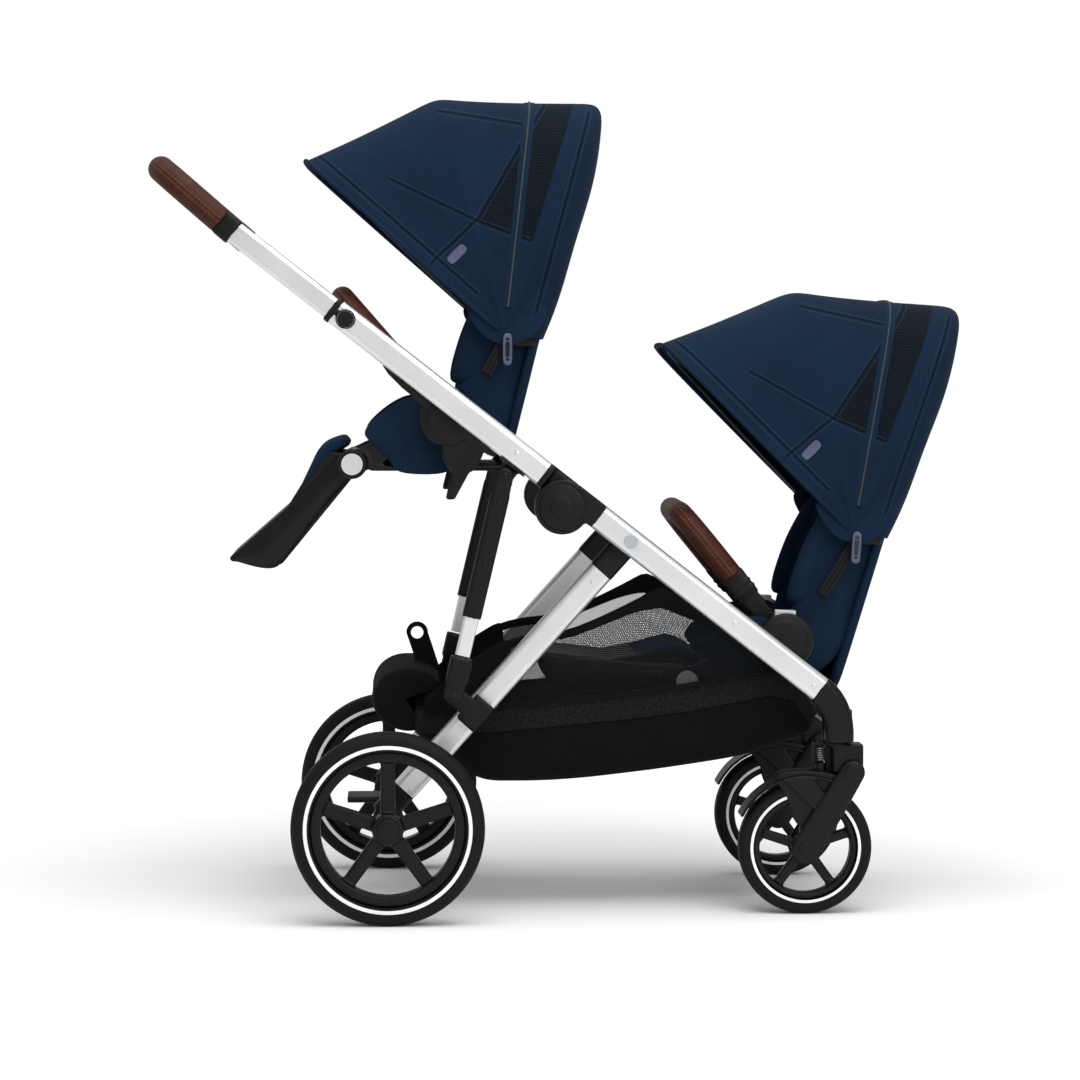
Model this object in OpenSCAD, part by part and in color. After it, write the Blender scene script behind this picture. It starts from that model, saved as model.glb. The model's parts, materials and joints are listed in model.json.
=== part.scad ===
// Tandem stroller: two rear-facing seats in line on one folding frame.
// X runs forward from rear to front, Y to the left side, Z up from the ground.

/* [Overall] */
// Rear axle behind the middle of the whole stroller
axle_back = 254.6; // [250:0.1:259]
// Distance between the rear and front axles
wheelbase = 613; // [600:1:626]
// Rear wheels, middle to middle
rear_track = 595; // [575:1:640]
// Front wheels, middle to middle
front_track = 400; // [390:1:410]

/* [Wheels] */
// Rear wheel diameter
rear_wheel_d = 280; // [270:1:290]
// Rear tyre width
rear_tyre_w = 45; // [40:1:48]
// Rear tyre thickness from rim to tread
rear_tyre_t = 27; // [24:1:32]
// Depth of the rear rim under the tyre
rear_rim_t = 16; // [12:1:20]
// Rear stub axle diameter
rear_axle_d = 12; // [10:0.5:14]
// Front wheel diameter
front_wheel_d = 196; // [190:1:202]
// Front tyre width
front_tyre_w = 38; // [34:1:40]
// Front tyre thickness from rim to tread
front_tyre_t = 20; // [17:1:24]
// Depth of the front rim under the tyre
front_rim_t = 11; // [8:1:14]
// Front axle diameter
front_axle_d = 10; // [8:0.5:12]
// Spokes in each rim
spoke_n = 5; // [3:1:8]
// Spoke width at the rim of the rear wheel
spoke_w = 20; // [14:1:26]
// Spoke and hub web thickness
spoke_t = 16; // [12:1:22]
// Hub diameter of the rear rim
rear_hub_d = 46; // [38:1:56]
// Hub diameter of the front rim
front_hub_d = 36; // [30:1:44]

/* [Frame tubes] */
// Slope of the main tubes below the horizontal
frame_slope = 38; // [37.5:0.1:38.5]
// Height of the main tube section
tube_h = 38; // [36:0.5:40]
// Width of the main tube section
tube_w = 30; // [28:0.5:32]
// Corner radius of the main tube section
tube_r = 9; // [6:0.5:12]
// Wall of all the frame tubes
tube_wall = 2; // [1.5:0.1:2.5]
// Length of the upper tube
upper_tube_l = 381; // [360:1:400]
// Length of the lower tube
lower_tube_l = 411; // [390:1:430]
// Tube ends from the fold pivot, along the tube
tube_gap = 51; // [49:0.5:54]

/* [Fold hub] */
// Fold pivot below the tube's middle line
hub_drop = 21.7; // [20:0.1:23]
// Fold hub diameter
hub_d = 80; // [76:1:84]
// Fold pin diameter
fold_pin_d = 16; // [12:0.5:20]

/* [Rear legs] */
// Rear leg section height
leg_h = 37; // [34:0.5:40]
// Rear leg section width
leg_w = 28; // [26:0.5:30]
// Bare end of the axle housing between the leg tube and the axle
axle_stub_l = 48.50; // [40:0.1:56]
// Rear axle off the leg's middle line
axle_off = 11.16; // [8:0.1:14]
// Leg cap length from the leg pivot to the tube
leg_cap_l = 62; // [58:0.5:66]
// Leg pivot from the fold hub along the tube
leg_pivot_s = 110; // [108:0.5:112]
// Leg pivot bolt diameter
leg_bolt_d = 12; // [10:0.5:14]
// Gap between each rear leg and the main tube beside it
leg_gap = 7; // [5:0.5:10]
// Rear axle tube diameter
axle_tube_d = 22; // [18:0.5:26]

/* [Struts] */
// Strut's upper pivot up the tube from the fold hub
strut_top_s = 93.4; // [91:0.2:96]
// Strut's upper pivot below the tube's middle line
strut_top_drop = 37.1; // [35:0.2:40]
// Strut's lower pivot down the leg from the leg pivot
strut_foot_s = 338; // [335:0.5:341]
// Strut's lower pivot off the leg's middle line
strut_foot_off = 43.1; // [41:0.2:45]
// Sleeve section height
sleeve_h = 28; // [26:0.5:30]
// Sleeve section width
sleeve_w = 24; // [22:0.5:26]
// End of the sleeve from the upper pivot
sleeve_l = 213; // [205:1:220]
// Reach of the lower fork from its pivot to its root
fork_reach = 55.07; // [50:0.1:60]
// Lower fork section height
strut_fork_h = 33; // [30:0.5:35]
// Strut pin diameter
strut_pin_d = 10; // [8:0.5:11]

/* [Handle] */
// Handle tube shown between the upper tube and the grip
handle_out_l = 199; // [190:1:205]
// Handle tube kept inside the upper tube
handle_in_l = 180; // [150:1:200]
// Reach of the grip from its collar to the crossbar's middle
grip_reach = 131; // [120:1:140]
// Leather grip diameter
grip_d = 39; // [36:0.5:42]
// Metal bar diameter inside the grip
handle_bar_d = 30; // [28:0.5:32]
// Corner radius of the handle's bend
handle_bend_r = 62; // [50:1:72]
// Upward kink of the grip
grip_kink = 3; // [0:0.5:5]
// Height button diameter
height_button_d = 24; // [20:0.5:26]
// Height button travel
height_button_go = 3; // [2:0.5:3.5]

/* [Front fork] */
// Swivel axis ahead of the front axle
trail = 47.63; // [42:0.1:52]
// Upright stub between the elbow's bend and the swivel joint line
elbow_stub_l = 18.58; // [14:0.1:24]
// Bend radius of the front elbow
elbow_r = 76; // [72:0.5:80]
// Swivel stem diameter
stem_d = 45; // [42:0.5:48]
// Ground to the swivel joint line
swivel_z = 254.7; // [252:0.5:258]
// Swivel pin diameter
swivel_pin_d = 16; // [14:0.5:18]
// Fork link pivot ahead of the swivel axis
link_ahead = 20; // [18:0.5:22]
// Fork link pivot above the ground
link_z = 210; // [207:0.5:213]
// Fork arm height
fork_arm_h = 26; // [22:0.5:28]
// Fork arm thickness
fork_arm_t = 8; // [6:0.5:9]
// Spring coil diameter, outside
spring_d = 12; // [10:0.5:13]
// Spring wire diameter
spring_wire_d = 1.8; // [1.4:0.1:2]
// Curls of each spring
spring_n = 6; // [4:1:7]

/* [Seats] */
// Upper seat hub up the tube from the fold hub
upper_seat_s = 209.68; // [204:0.1:216]
// Upper seat hub below the tube's middle line
upper_seat_drop = 22.96; // [20:0.1:26]
// Lower seat hub up the tube from its lower end
lower_seat_back = 79.32; // [74:0.1:86]
// Lower seat hub above the tube's middle line
lower_seat_rise = 25.64; // [22:0.1:28]
// Seat hub diameter
seat_hub_d = 74; // [70:1:76]
// Seat hub pivot pin diameter
seat_pin_d = 20; // [16:0.5:22]
// Width of the padded liner, which the seat, canopy, frame and basket widths follow
liner_w = 264; // [240:1:290]
// Length of each seat hub across the stroller
seat_hub_l = 48; // [40:0.5:56]
// Padding thickness at the liner's middle
liner_t = 38; // [32:1:44]
// Depth of the side wings
wing_t = 92; // [80:1:96]
// Length of the backrest plate
back_l = 420; // [400:1:430]
// Length of the seat base
base_l = 195; // [190:1:200]
// Seat base below the hub
base_drop = 70; // [68:0.5:72]
// Lean of the upper backrest from the vertical
upper_lean = 14; // [13:0.5:15]
// Lean of the lower backrest from the vertical
lower_lean = 15; // [14:0.5:16]
// Leg rest length
leg_rest_l = 231; // [222:1:236]
// Leg rest width
leg_rest_w = 226; // [200:1:250]
// Slope of the upper leg rest below the horizontal
upper_leg_slope = 38; // [34:1:42]
// Rise of the lower leg rest above the horizontal
lower_leg_rise = 10; // [6:1:12]
// Leg rest button diameter
leg_button_d = 32; // [28:0.5:34]
// Bumper bar reach from the seat hub
bumper_reach = 235; // [230:1:240]
// Bumper grip diameter
bumper_d = 35; // [32:0.5:37]

/* [Canopies] */
// Canopy reach from its pivot to the visor tip
canopy_reach = 395; // [380:1:405]
// Canopy beyond the liner on each side
canopy_side = 33; // [30:0.5:36]
// Fabric thickness
canopy_t = 3; // [2.5:0.1:3.5]
// Canopy bow rod diameter
bow_d = 8; // [6:0.5:9]

/* [Basket] */
// Basket's reach behind the rear axle
basket_aft = 28; // [20:1:34]
// Basket's reach ahead of the front axle
basket_fore = 27; // [20:1:30]
// Basket depth from the side's top corner to the floor
basket_h = 168; // [160:1:172]
// Clearance between the basket and each rear leg
basket_side = 3.5; // [2:0.5:6]
// Fabric wall
basket_wall = 3; // [2:0.5:3.5]
// Diameter of the padded rear roll
roll_d = 72; // [60:1:76]

/* [Hidden] */

// Finishes
silver = "gainsboro";
black = "dimgray";
leather = "saddlebrown";
navy = "midnightblue";
rubber = "darkslategray";
grey = "lightgray";

// Fits and overruns shared by all pieces
$fn = 48;
run_fit = 0.05;
gap = 0.3;
over = 5;

// Levels across the width, from the middle plane outwards: liner, bumper arm, seat hub, adapter, tube
liner_slack = 2.5;
bumper_t = 12;
bumper_slack = 1.5;
bumper_in = liner_w / 2 + liner_slack;
bumper_out = bumper_in + bumper_t;
hub_in = bumper_out + bumper_slack;
hub_out = hub_in + seat_hub_l;
seat_face = hub_out + gap;
adapter_t = 14.7;
tube_in = seat_face + adapter_t;
half_span = tube_in + tube_w / 2;
tube_out = tube_in + tube_w;
leg_out = tube_in - leg_gap;
leg_y = leg_out - leg_w / 2;
leg_in = leg_out - leg_w;
basket_w = 2 * (leg_in - basket_side);
canopy_w = liner_w + 2 * canopy_side;
front_y = front_track / 2;
rear_y = rear_track / 2;

// Swivel axis, and the bend above it where the main tube starts its rise to the rear
swivel_x = wheelbase + trail;
bend_z = swivel_z + elbow_stub_l;
elbow_start = [swivel_x - elbow_r * (1 - sin(frame_slope)), bend_z + elbow_r * cos(frame_slope)];

// Main tube line: the foot is the fold pivot's place on the tube's middle line
upper_end = tube_gap + upper_tube_l;
lower_end = tube_gap + lower_tube_l;
foot = elbow_start + lower_end * [-cos(frame_slope), sin(frame_slope)];
function on_tube(s, up = 0) =
    foot + s * [-cos(frame_slope), sin(frame_slope)] + up * [sin(frame_slope), cos(frame_slope)];
fold_hub = on_tube(0, -hub_drop);
upper_hub = on_tube(upper_seat_s, -upper_seat_drop);
lower_hub = on_tube(lower_seat_back - lower_end, lower_seat_rise);

// Rear leg line, from its pivot on the lower tube past the rear axle
axle = [0, rear_wheel_d / 2];
leg_pivot = on_tube(-leg_pivot_s);
leg_fall = leg_pivot - axle;
leg_slope = atan2(leg_fall.y, leg_fall.x) - asin(axle_off / norm(leg_fall));
leg_dir = [-cos(leg_slope), -sin(leg_slope)];
leg_side = [-sin(leg_slope), cos(leg_slope)];
axle_along = -leg_fall * leg_dir;
leg_end = axle_along - axle_stub_l;

// Strut line between its two pivots
strut_top = on_tube(strut_top_s, -strut_top_drop);
strut_foot = leg_pivot + strut_foot_s * leg_dir + strut_foot_off * leg_side;
strut_l = norm(strut_foot - strut_top);
strut_turn = atan2(strut_foot.y - strut_top.y, strut_foot.x - strut_top.x);
fork_start = strut_l - fork_reach;

// Places in the drawing
module in_row() {
    translate([-axle_back, 0, 0]) children();
}

module pair() {
    children();
    mirror([0, 1, 0]) children();
}

module right_side() {
    mirror([0, 1, 0]) children();
}

module at(p) {
    translate([p.x, 0, p.y]) children();
}

module at_tube() {
    at(foot) rotate([0, frame_slope, 0]) children();
}

module at_leg() {
    at(leg_pivot) rotate([0, 180 - leg_slope, 0]) mirror([0, 0, 1]) children();
}

module at_strut() {
    at(strut_top) rotate([0, -strut_turn, 0]) children();
}

// Shared shapes
module rounded(w, h, r) {
    square([w - 2 * r, h], center = true);
    square([w, h - 2 * r], center = true);
    for (x = [-1, 1], y = [-1, 1]) translate([x * (w / 2 - r), y * (h / 2 - r)]) circle(r);
}

// A bar along X from 0, w across Y and h across Z
module bar(l, w, h, r) {
    rotate([90, 0, 90]) linear_extrude(l) rounded(w, h, r);
}

module hollow_bar(l, w, h, r) {
    difference() {
        bar(l, w, h, r);
        translate([-over, 0, 0]) bar(l + 2 * over, w - 2 * tube_wall, h - 2 * tube_wall, r - tube_wall);
    }
}

// A disc about Y between two levels
module disc(d, from, to) {
    translate([0, from, 0]) rotate([-90, 0, 0]) cylinder(d = d, h = to - from);
}

// A plate of a side outline between two levels
module plate(points, from, to) {
    translate([0, to, 0]) rotate([90, 0, 0]) linear_extrude(to - from) polygon(points);
}

// A box from a low to a high corner
module block(low, high) {
    translate(low) cube(high - low);
}

// A closed skin over rings of equal length, with strip-filled ends
module skin(rings) {
    n = len(rings[0]);
    half = n / 2;
    last = (len(rings) - 1) * n;
    sides = [for (i = [0 : len(rings) - 2], j = [0 : n - 1], k = [0, 1])
        let (a = i * n + j, b = i * n + (j + 1) % n)
        k == 0 ? [a, b, b + n] : [a, b + n, a + n]];
    starts = [for (j = [0 : half - 2], k = [0, 1])
        let (a = j, b = n - 1 - j)
        k == 0 ? [a, b, b - 1] : [a, b - 1, a + 1]];
    ends = [for (j = [0 : half - 2], k = [0, 1])
        let (a = last + j, b = last + n - 1 - j)
        k == 0 ? [a, b - 1, b] : [a, a + 1, b - 1]];
    polyhedron(points = [for (ring = rings) each ring], faces = concat(sides, starts, ends));
}

// Main tubes and their fold hubs: the lower half hub lies outside the upper one
spigot_l = 60;
spigot_w = tube_w - 2 * tube_wall - 2 * run_fit;
spigot_h = tube_h - 2 * tube_wall - 2 * run_fit;
spigot_r = tube_r - tube_wall;
hub_proud = 3;
hub_slack = 1;
hub_clear = hub_d / 2 + hub_slack;
bolt_room = 3;
hub_spigot_l = leg_pivot_s - tube_gap - leg_bolt_d / 2 - bolt_room;
hub_cover_d = 50;
hub_cover_t = 2;
bolt_head_t = 3;
bolt_head_d = 20;
fold_pin_end = tube_out - hub_cover_t;

module fold_half(from, to) {
    translate([0, 0, -hub_drop]) disc(hub_d, from, to);
    block([0, from, -tube_h / 2], [tube_gap, to, tube_h / 2]);
    translate([hub_clear, half_span, 0]) bar(tube_gap - hub_clear, tube_w, tube_h, tube_r);
    translate([tube_gap - gap, half_span, 0]) bar(hub_spigot_l, spigot_w, spigot_h, spigot_r);
}

module lower_tubes() {
    color(silver) pair() difference() {
        at_tube() translate([tube_gap, half_span, 0]) hollow_bar(lower_tube_l, tube_w, tube_h, tube_r);
        at(leg_pivot) disc(leg_bolt_d + 2 * run_fit, tube_in - over, tube_out + over);
    }
}

module lower_hubs() {
    color(black) pair() difference() {
        union() {
            at_tube() fold_half(half_span + gap / 2, tube_out + hub_proud);
            at(fold_hub) disc(hub_cover_d, tube_out, tube_out + hub_proud + hub_cover_t);
        }
        at(fold_hub) disc(fold_pin_d + 2 * run_fit, tube_in, fold_pin_end + run_fit);
    }
}

module frame_bolts() {
    color(silver) pair() {
        at(fold_hub) {
            disc(fold_pin_d, tube_in - hub_proud - gap - bolt_head_t, fold_pin_end);
            disc(bolt_head_d, tube_in - hub_proud - gap - bolt_head_t, tube_in - hub_proud - gap);
        }
        at(leg_pivot) {
            disc(leg_bolt_d, leg_in - gap - bolt_head_t, tube_out + bolt_head_t);
            disc(bolt_head_d, leg_in - gap - bolt_head_t, leg_in - gap);
            disc(bolt_head_d, tube_out, tube_out + bolt_head_t);
        }
    }
}

module upper_tubes() {
    color(silver) pair() at_tube() translate([-upper_end, half_span, 0])
        hollow_bar(upper_tube_l, tube_w, tube_h, tube_r);
}

module upper_hubs() {
    color(black) pair() difference() {
        at_tube() mirror([1, 0, 0]) fold_half(tube_in - hub_proud, half_span - gap / 2);
        at(fold_hub) disc(fold_pin_d + 2 * run_fit, tube_in - over, tube_out);
    }
}

// Front elbow: a bent socket that turns the lower tube into an upright swivel stem
elbow_w = 32;
elbow_h = 41;
elbow_corner = 10;
stub_rim = 0.5;
stem_h = 46;
web_l = 34;
crossbar_d = 22;
crossbar_up = 28;
crossbar_back = 6;
crossbar_set = 6;
crossbar_half = front_y - stem_d / 2 - crossbar_set;
swivel_pin_h = 40;

module front_elbows() {
    color(black) pair() difference() {
        union() {
            at_tube() translate([lower_end, half_span, -elbow_r]) rotate([90, 0, 0])
                rotate([0, 0, frame_slope]) rotate_extrude(angle = 90 - frame_slope)
                translate([elbow_r, 0]) rounded(elbow_h, elbow_w, elbow_corner);
            at_tube() translate([lower_end - spigot_l, half_span, 0])
                bar(spigot_l + run_fit, spigot_w, spigot_h, spigot_r);
            translate([swivel_x, front_y, swivel_z]) cylinder(d = stem_d, h = stem_h);
            translate([swivel_x, half_span, swivel_z]) rotate([0, -90, 0])
                bar(elbow_stub_l + stub_rim, elbow_w + 2 * stub_rim, elbow_h + 2 * stub_rim, elbow_corner);
            block([swivel_x - web_l / 2, min(front_y, half_span), swivel_z],
                [swivel_x + web_l / 2, max(front_y, half_span), swivel_z + stem_h]);
            translate([swivel_x - crossbar_back, 0, swivel_z + crossbar_up])
                disc(crossbar_d + bolt_head_t, crossbar_half, front_y);
        }
        translate([swivel_x, front_y, swivel_z - over])
            cylinder(d = swivel_pin_d + 2 * run_fit, h = swivel_pin_h + over + gap);
    }
}

module front_crossbar() {
    color(silver) translate([swivel_x - crossbar_back, 0, swivel_z + crossbar_up]) difference() {
        disc(crossbar_d, -crossbar_half, crossbar_half);
        disc(crossbar_d - 2 * tube_wall, -crossbar_half - over, crossbar_half + over);
    }
}

// Seat adapters on the inner faces of the tubes, each with the pin that a seat hub turns on
adapter_d = 64;
seat_pin_in = hub_in + bumper_t;
fin_shares = [[-0.11, -0.35], [0.45, -0.2], [0.84, -0.74], [0.7, -1.08], [0.55, -1.22], [0.5, -1.22],
    [0.16, -1.85], [-0.055, -1.85], [0.1, -1.21], [-0.02, -1.08], [-0.14, -0.86]];

module adapter(place) {
    at(place) {
        disc(adapter_d, seat_face, tube_in);
        disc(seat_pin_d, seat_pin_in, tube_in);
    }
}

module lower_adapters() {
    color(black) pair() adapter(lower_hub);
}

module upper_adapters() {
    color(black) pair() {
        adapter(upper_hub);
        at(upper_hub) plate(fin_shares * adapter_d, seat_face, tube_in - hub_proud);
    }
}

// Basket: an open fabric tub hung between the tubes, with a padded roll along its rear edge
basket_l = basket_aft + wheelbase + basket_fore;
basket_z = 187;
tub_floor_shares = [[0.102, 0.45], [0.243, 0], [0.455, 0.036], [0.82, 0.22], [0.985, 0.44], [0.995, 0.6]];
tub_rim_shares = [[0.94, 0.94], [0.888, 1], [0.596, 0.798], [0.286, 0.685], [0.102, 0.66]];
tub_inward_shares = [[1, 0.5], [0.5, 1], [0, 1], [-0.15, 1], [-0.9, 0.9], [-1, 0.2]];
roll_shares = [0.06, 0.7];
roll_inset = 22.5;
roll_w = basket_w - 2 * roll_inset;
strap_d = 6;
strap_s = 173;
mesh_t = 1.5;
strap = on_tube(-strap_s, -(tube_h + strap_d) / 2 - gap);
basket_size = [basket_l, basket_h];

function in_basket(share) = [-basket_aft, basket_z] + [share.x * basket_size.x, share.y * basket_size.y];

tub_floor = [for (share = tub_floor_shares) in_basket(share)];
tub_rim = [for (share = tub_rim_shares) in_basket(share)];
tub_inside = [for (i = [0 : len(tub_floor) - 1]) tub_floor[i] + basket_wall * tub_inward_shares[i]];
tub_above = [for (p = tub_rim) p + [0, basket_h]];
mesh_foot_shares = [[0.286, 0.65], [0.888, 0.965]];

module basket() {
    color(rubber) {
        difference() {
            plate(concat(tub_floor, tub_rim), -basket_w / 2, basket_w / 2);
            plate(concat(tub_inside, tub_above), basket_wall - basket_w / 2, basket_w / 2 - basket_wall);
        }
        at(in_basket(roll_shares)) disc(roll_d, -roll_w / 2, roll_w / 2);
    }
}

module basket_mesh() {
    color(rubber) pair() {
        plate(concat([for (share = mesh_foot_shares) in_basket(share)], [strap]),
            basket_w / 2 + gap, basket_w / 2 + gap + mesh_t);
        at(strap) disc(strap_d, basket_w / 2 + gap, half_span);
    }
}

// Rear legs, their pivot caps and the axle between them
leg_r = 9;
cap_rim = 1.5;
leg_spigot_w = leg_w - 2 * tube_wall - 2 * run_fit;
leg_spigot_h = leg_h - 2 * tube_wall - 2 * run_fit;
axle_set = 12;
axle_end = rear_y - rear_tyre_w / 2 - axle_set;
axle_tip = rear_y + rear_tyre_w / 2;
housing_d = 46;
housing_proud = 1;

module rear_legs() {
    color(silver) pair() at_leg() translate([leg_cap_l, leg_y, 0])
        hollow_bar(leg_end - leg_cap_l, leg_w, leg_h, leg_r);
}

module leg_caps() {
    color(black) pair() difference() {
        at_leg() {
            disc(leg_h + cap_rim, leg_in, leg_out);
            translate([0, leg_y, 0]) bar(leg_cap_l, leg_w, leg_h + cap_rim, leg_r);
            translate([leg_cap_l - run_fit, leg_y, 0])
                bar(spigot_l, leg_spigot_w, leg_spigot_h, leg_r - tube_wall);
        }
        at(leg_pivot) disc(leg_bolt_d + 2 * run_fit, leg_in - over, leg_out + over);
    }
}

module rear_axle() {
    color(black) {
        at(axle) disc(axle_tube_d, -axle_end, axle_end);
        pair() {
            at(axle) disc(rear_axle_d, axle_end - run_fit, axle_tip);
            at(axle) disc(housing_d, leg_in - housing_proud, leg_out + housing_proud);
            at_leg() translate([leg_end, leg_y, 0]) bar(axle_along - leg_end, leg_w, leg_h, leg_r);
            at_leg() translate([leg_end - spigot_l, leg_y, 0])
                bar(spigot_l + run_fit, leg_spigot_w, leg_spigot_h, leg_r - tube_wall);
        }
    }
}

// Clevis on each leg's outer face that the strut's fork straddles, with an easy hole for its pin
lug_t = 10;
lug_d = 28;
lug_base_l = 46;
easy_hole = 2.5;

module strut_clevises() {
    color(black) pair() at_leg() difference() {
        union() {
            translate([strut_foot_s, 0, strut_foot_off])
                disc(lug_d, half_span - lug_t / 2, half_span + lug_t / 2);
            block([strut_foot_s - lug_d / 2, half_span - lug_t / 2, 0],
                [strut_foot_s + lug_d / 2, half_span + lug_t / 2, strut_foot_off]);
            block([strut_foot_s - lug_base_l / 2, leg_out, tube_wall - leg_h / 2],
                [strut_foot_s + lug_base_l / 2, half_span + lug_t / 2, leg_h / 2 - tube_wall]);
        }
        translate([strut_foot_s, 0, strut_foot_off])
            disc(strut_pin_d + 2 * easy_hole, half_span - lug_t, half_span + lug_t);
    }
}

// Brake pedal that turns on the rear axle tube
pedal_w = 84;
pedal_l = 62;
pedal_t = 9;
pedal_up = 10;
pedal_ring = 7;

module brake_pedal() {
    color(black) at(axle) difference() {
        union() {
            disc(axle_tube_d + 2 * pedal_ring, -pedal_w / 4, pedal_w / 4);
            translate([-pedal_l, 0, pedal_up]) bar(pedal_l, pedal_w, pedal_t, pedal_t / 3);
        }
        disc(axle_tube_d + 2 * run_fit, -pedal_w, pedal_w);
    }
}

// Collar at the top of each upper tube, with the ring that guides its height button
collar_l = 10;
collar_rim = 1.5;
handle_w = tube_w - 2 * tube_wall - 2 * gap;
handle_h = tube_h - 2 * tube_wall - 2 * gap;
handle_r = tube_r - tube_wall;
button_back = 17;
button_rim = 3;
button_t = 4;
button_s = upper_end - button_back;

module tube_collars() {
    color(black) pair() at_tube() {
        translate([-upper_end - collar_l, half_span, 0]) difference() {
            bar(collar_l, tube_w + 2 * collar_rim, tube_h + 2 * collar_rim, tube_r);
            translate([-over, 0, 0])
                bar(collar_l + 2 * over, handle_w + 2 * gap, handle_h + 2 * gap, handle_r);
        }
        translate([-button_s, 0, 0]) difference() {
            disc(height_button_d + 2 * button_rim, tube_out, tube_out + button_t + gap);
            disc(height_button_d + 2 * gap, tube_out - over, tube_out + over + button_t);
        }
    }
}

module height_button() {
    color(black) at_tube() translate([-button_s, 0, 0])
        disc(height_button_d, tube_out + height_button_go + gap,
            tube_out + height_button_go + gap + button_t);
}

module height_button_left() {
    height_button();
}

module height_button_right() {
    right_side() height_button();
}

// Telescopic handle: one bent bar, sleeved in leather past its two collars
handle_start = upper_end + handle_out_l;
grip_collar_l = 14;
grip_rim = collar_rim + button_rim / 2;

// A bent bar in its own plane: legs along X, the crossbar along Y
module bow_bar(d, from, reach, bend, half) {
    pair() {
        translate([from, half, 0]) rotate([0, 90, 0]) cylinder(d = d, h = reach - bend - from);
        translate([reach - bend, half - bend, 0])
            rotate_extrude(angle = 90) translate([bend, 0]) circle(d = d);
    }
    translate([reach, 0, 0]) disc(d, bend - half, half - bend);
}

module handle_bow(d, from) {
    bow_bar(d, from, grip_reach, handle_bend_r, half_span);
}

module at_grip() {
    at_tube() translate([-handle_start, 0, 0]) rotate([0, grip_kink, 0]) mirror([1, 0, 0]) children();
}

module handle_tubes() {
    color(silver) {
        pair() at_tube() translate([-handle_start, half_span, 0])
            hollow_bar(handle_out_l + handle_in_l, handle_w, handle_h, handle_r);
        at_grip() handle_bow(handle_bar_d - 2 * collar_rim, -collar_rim);
    }
}

module handle_grip() {
    color(leather) at_grip() difference() {
        handle_bow(grip_d, grip_collar_l);
        handle_bow(handle_bar_d - 2 * collar_rim + 2 * run_fit, grip_collar_l - over);
    }
}

module grip_collars() {
    color(black) pair() difference() {
        at_grip() translate([-grip_collar_l, half_span, 0])
            bar(2 * grip_collar_l - gap, handle_w + 2 * grip_rim, handle_h + 2 * grip_rim, handle_r);
        at_tube() translate([-handle_start - run_fit, half_span, 0])
            bar(handle_out_l, handle_w + 2 * run_fit, handle_h + 2 * run_fit, handle_r);
        at_grip() handle_bow(handle_bar_d - 2 * collar_rim + 2 * run_fit, -over);
    }
}

// Struts: a black sleeve pinned under each upper tube, a silver rod and a fork pinned at the leg
cheek_t = 6.6;
cheek_d = 26;
strut_r = 5;
rod_w = 18;
rod_h = 22;
rod_r = 4;
rod_in = 40;
fork_web = 38;
fork_cheek_d = 28;
bracket_l = 46;
bracket_t = 3;

module strut_brackets() {
    color(black) pair() at_tube() difference() {
        union() {
            translate([-strut_top_s, 0, -strut_top_drop])
                disc(cheek_d, half_span - lug_t / 2, half_span + lug_t / 2);
            block([-strut_top_s - cheek_d / 2, half_span - lug_t / 2, -strut_top_drop],
                [-strut_top_s + cheek_d / 2, half_span + lug_t / 2, -tube_h / 2]);
            block([-strut_top_s - bracket_l / 2, tube_in, -tube_h / 2 - bracket_t],
                [-strut_top_s + bracket_l / 2, tube_out, -tube_h / 2]);
        }
        translate([-strut_top_s, 0, -strut_top_drop])
            disc(strut_pin_d + 2 * run_fit, half_span - lug_t, half_span + lug_t);
    }
}

// Two cheeks and a pin at one end of a strut: x is the pin's place, root where the cheeks join the bar
module strut_eye(x, root, d) {
    for (side = [-1, 1]) {
        level = half_span + side * (lug_t / 2 + gap + cheek_t / 2);
        translate([x, 0, 0]) disc(d, level - cheek_t / 2, level + cheek_t / 2);
        block([min(x, root), level - cheek_t / 2, -d / 2], [max(x, root), level + cheek_t / 2, d / 2]);
    }
    translate([x, 0, 0]) disc(strut_pin_d, half_span - lug_t, half_span + lug_t);
}

module strut_sleeves() {
    sleeve_start = cheek_d;
    fork_end = fork_start + fork_web;
    color(black) pair() at_strut() difference() {
        union() {
            strut_eye(0, sleeve_start + run_fit, cheek_d);
            translate([sleeve_start, half_span, 0])
                bar(sleeve_l - sleeve_start, sleeve_w, sleeve_h, strut_r);
            translate([fork_start, half_span, 0]) bar(fork_web, sleeve_w + bracket_t, strut_fork_h, strut_r);
            strut_eye(strut_l, fork_end - run_fit, fork_cheek_d);
        }
        translate([sleeve_l - rod_in - gap, half_span, 0])
            bar(fork_start + fork_web - sleeve_l, rod_w + 2 * run_fit, rod_h + 2 * run_fit, rod_r);
    }
}

module strut_rods() {
    color(silver) pair() at_strut() translate([sleeve_l - rod_in, half_span, 0])
        bar(fork_start + fork_web - sleeve_l - 2 * gap, rod_w, rod_h, rod_r);
}

// Wheels: a rounded tyre on a rim with straight spokes and a bored hub
rim_share = 0.72;
tyre_crown_share = 0.48;
spoke_root_share = 0.55;

module tyre(d, w, t) {
    crown = t * tyre_crown_share;
    rotate([90, 0, 0]) rotate_extrude() {
        translate([d / 2 - crown, crown - w / 2]) circle(crown);
        translate([d / 2 - crown, w / 2 - crown]) circle(crown);
        translate([d / 2 - crown, crown - w / 2]) square([crown, w - 2 * crown]);
        translate([d / 2 - t, -w / 2]) square([t - crown, w]);
    }
}

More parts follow.
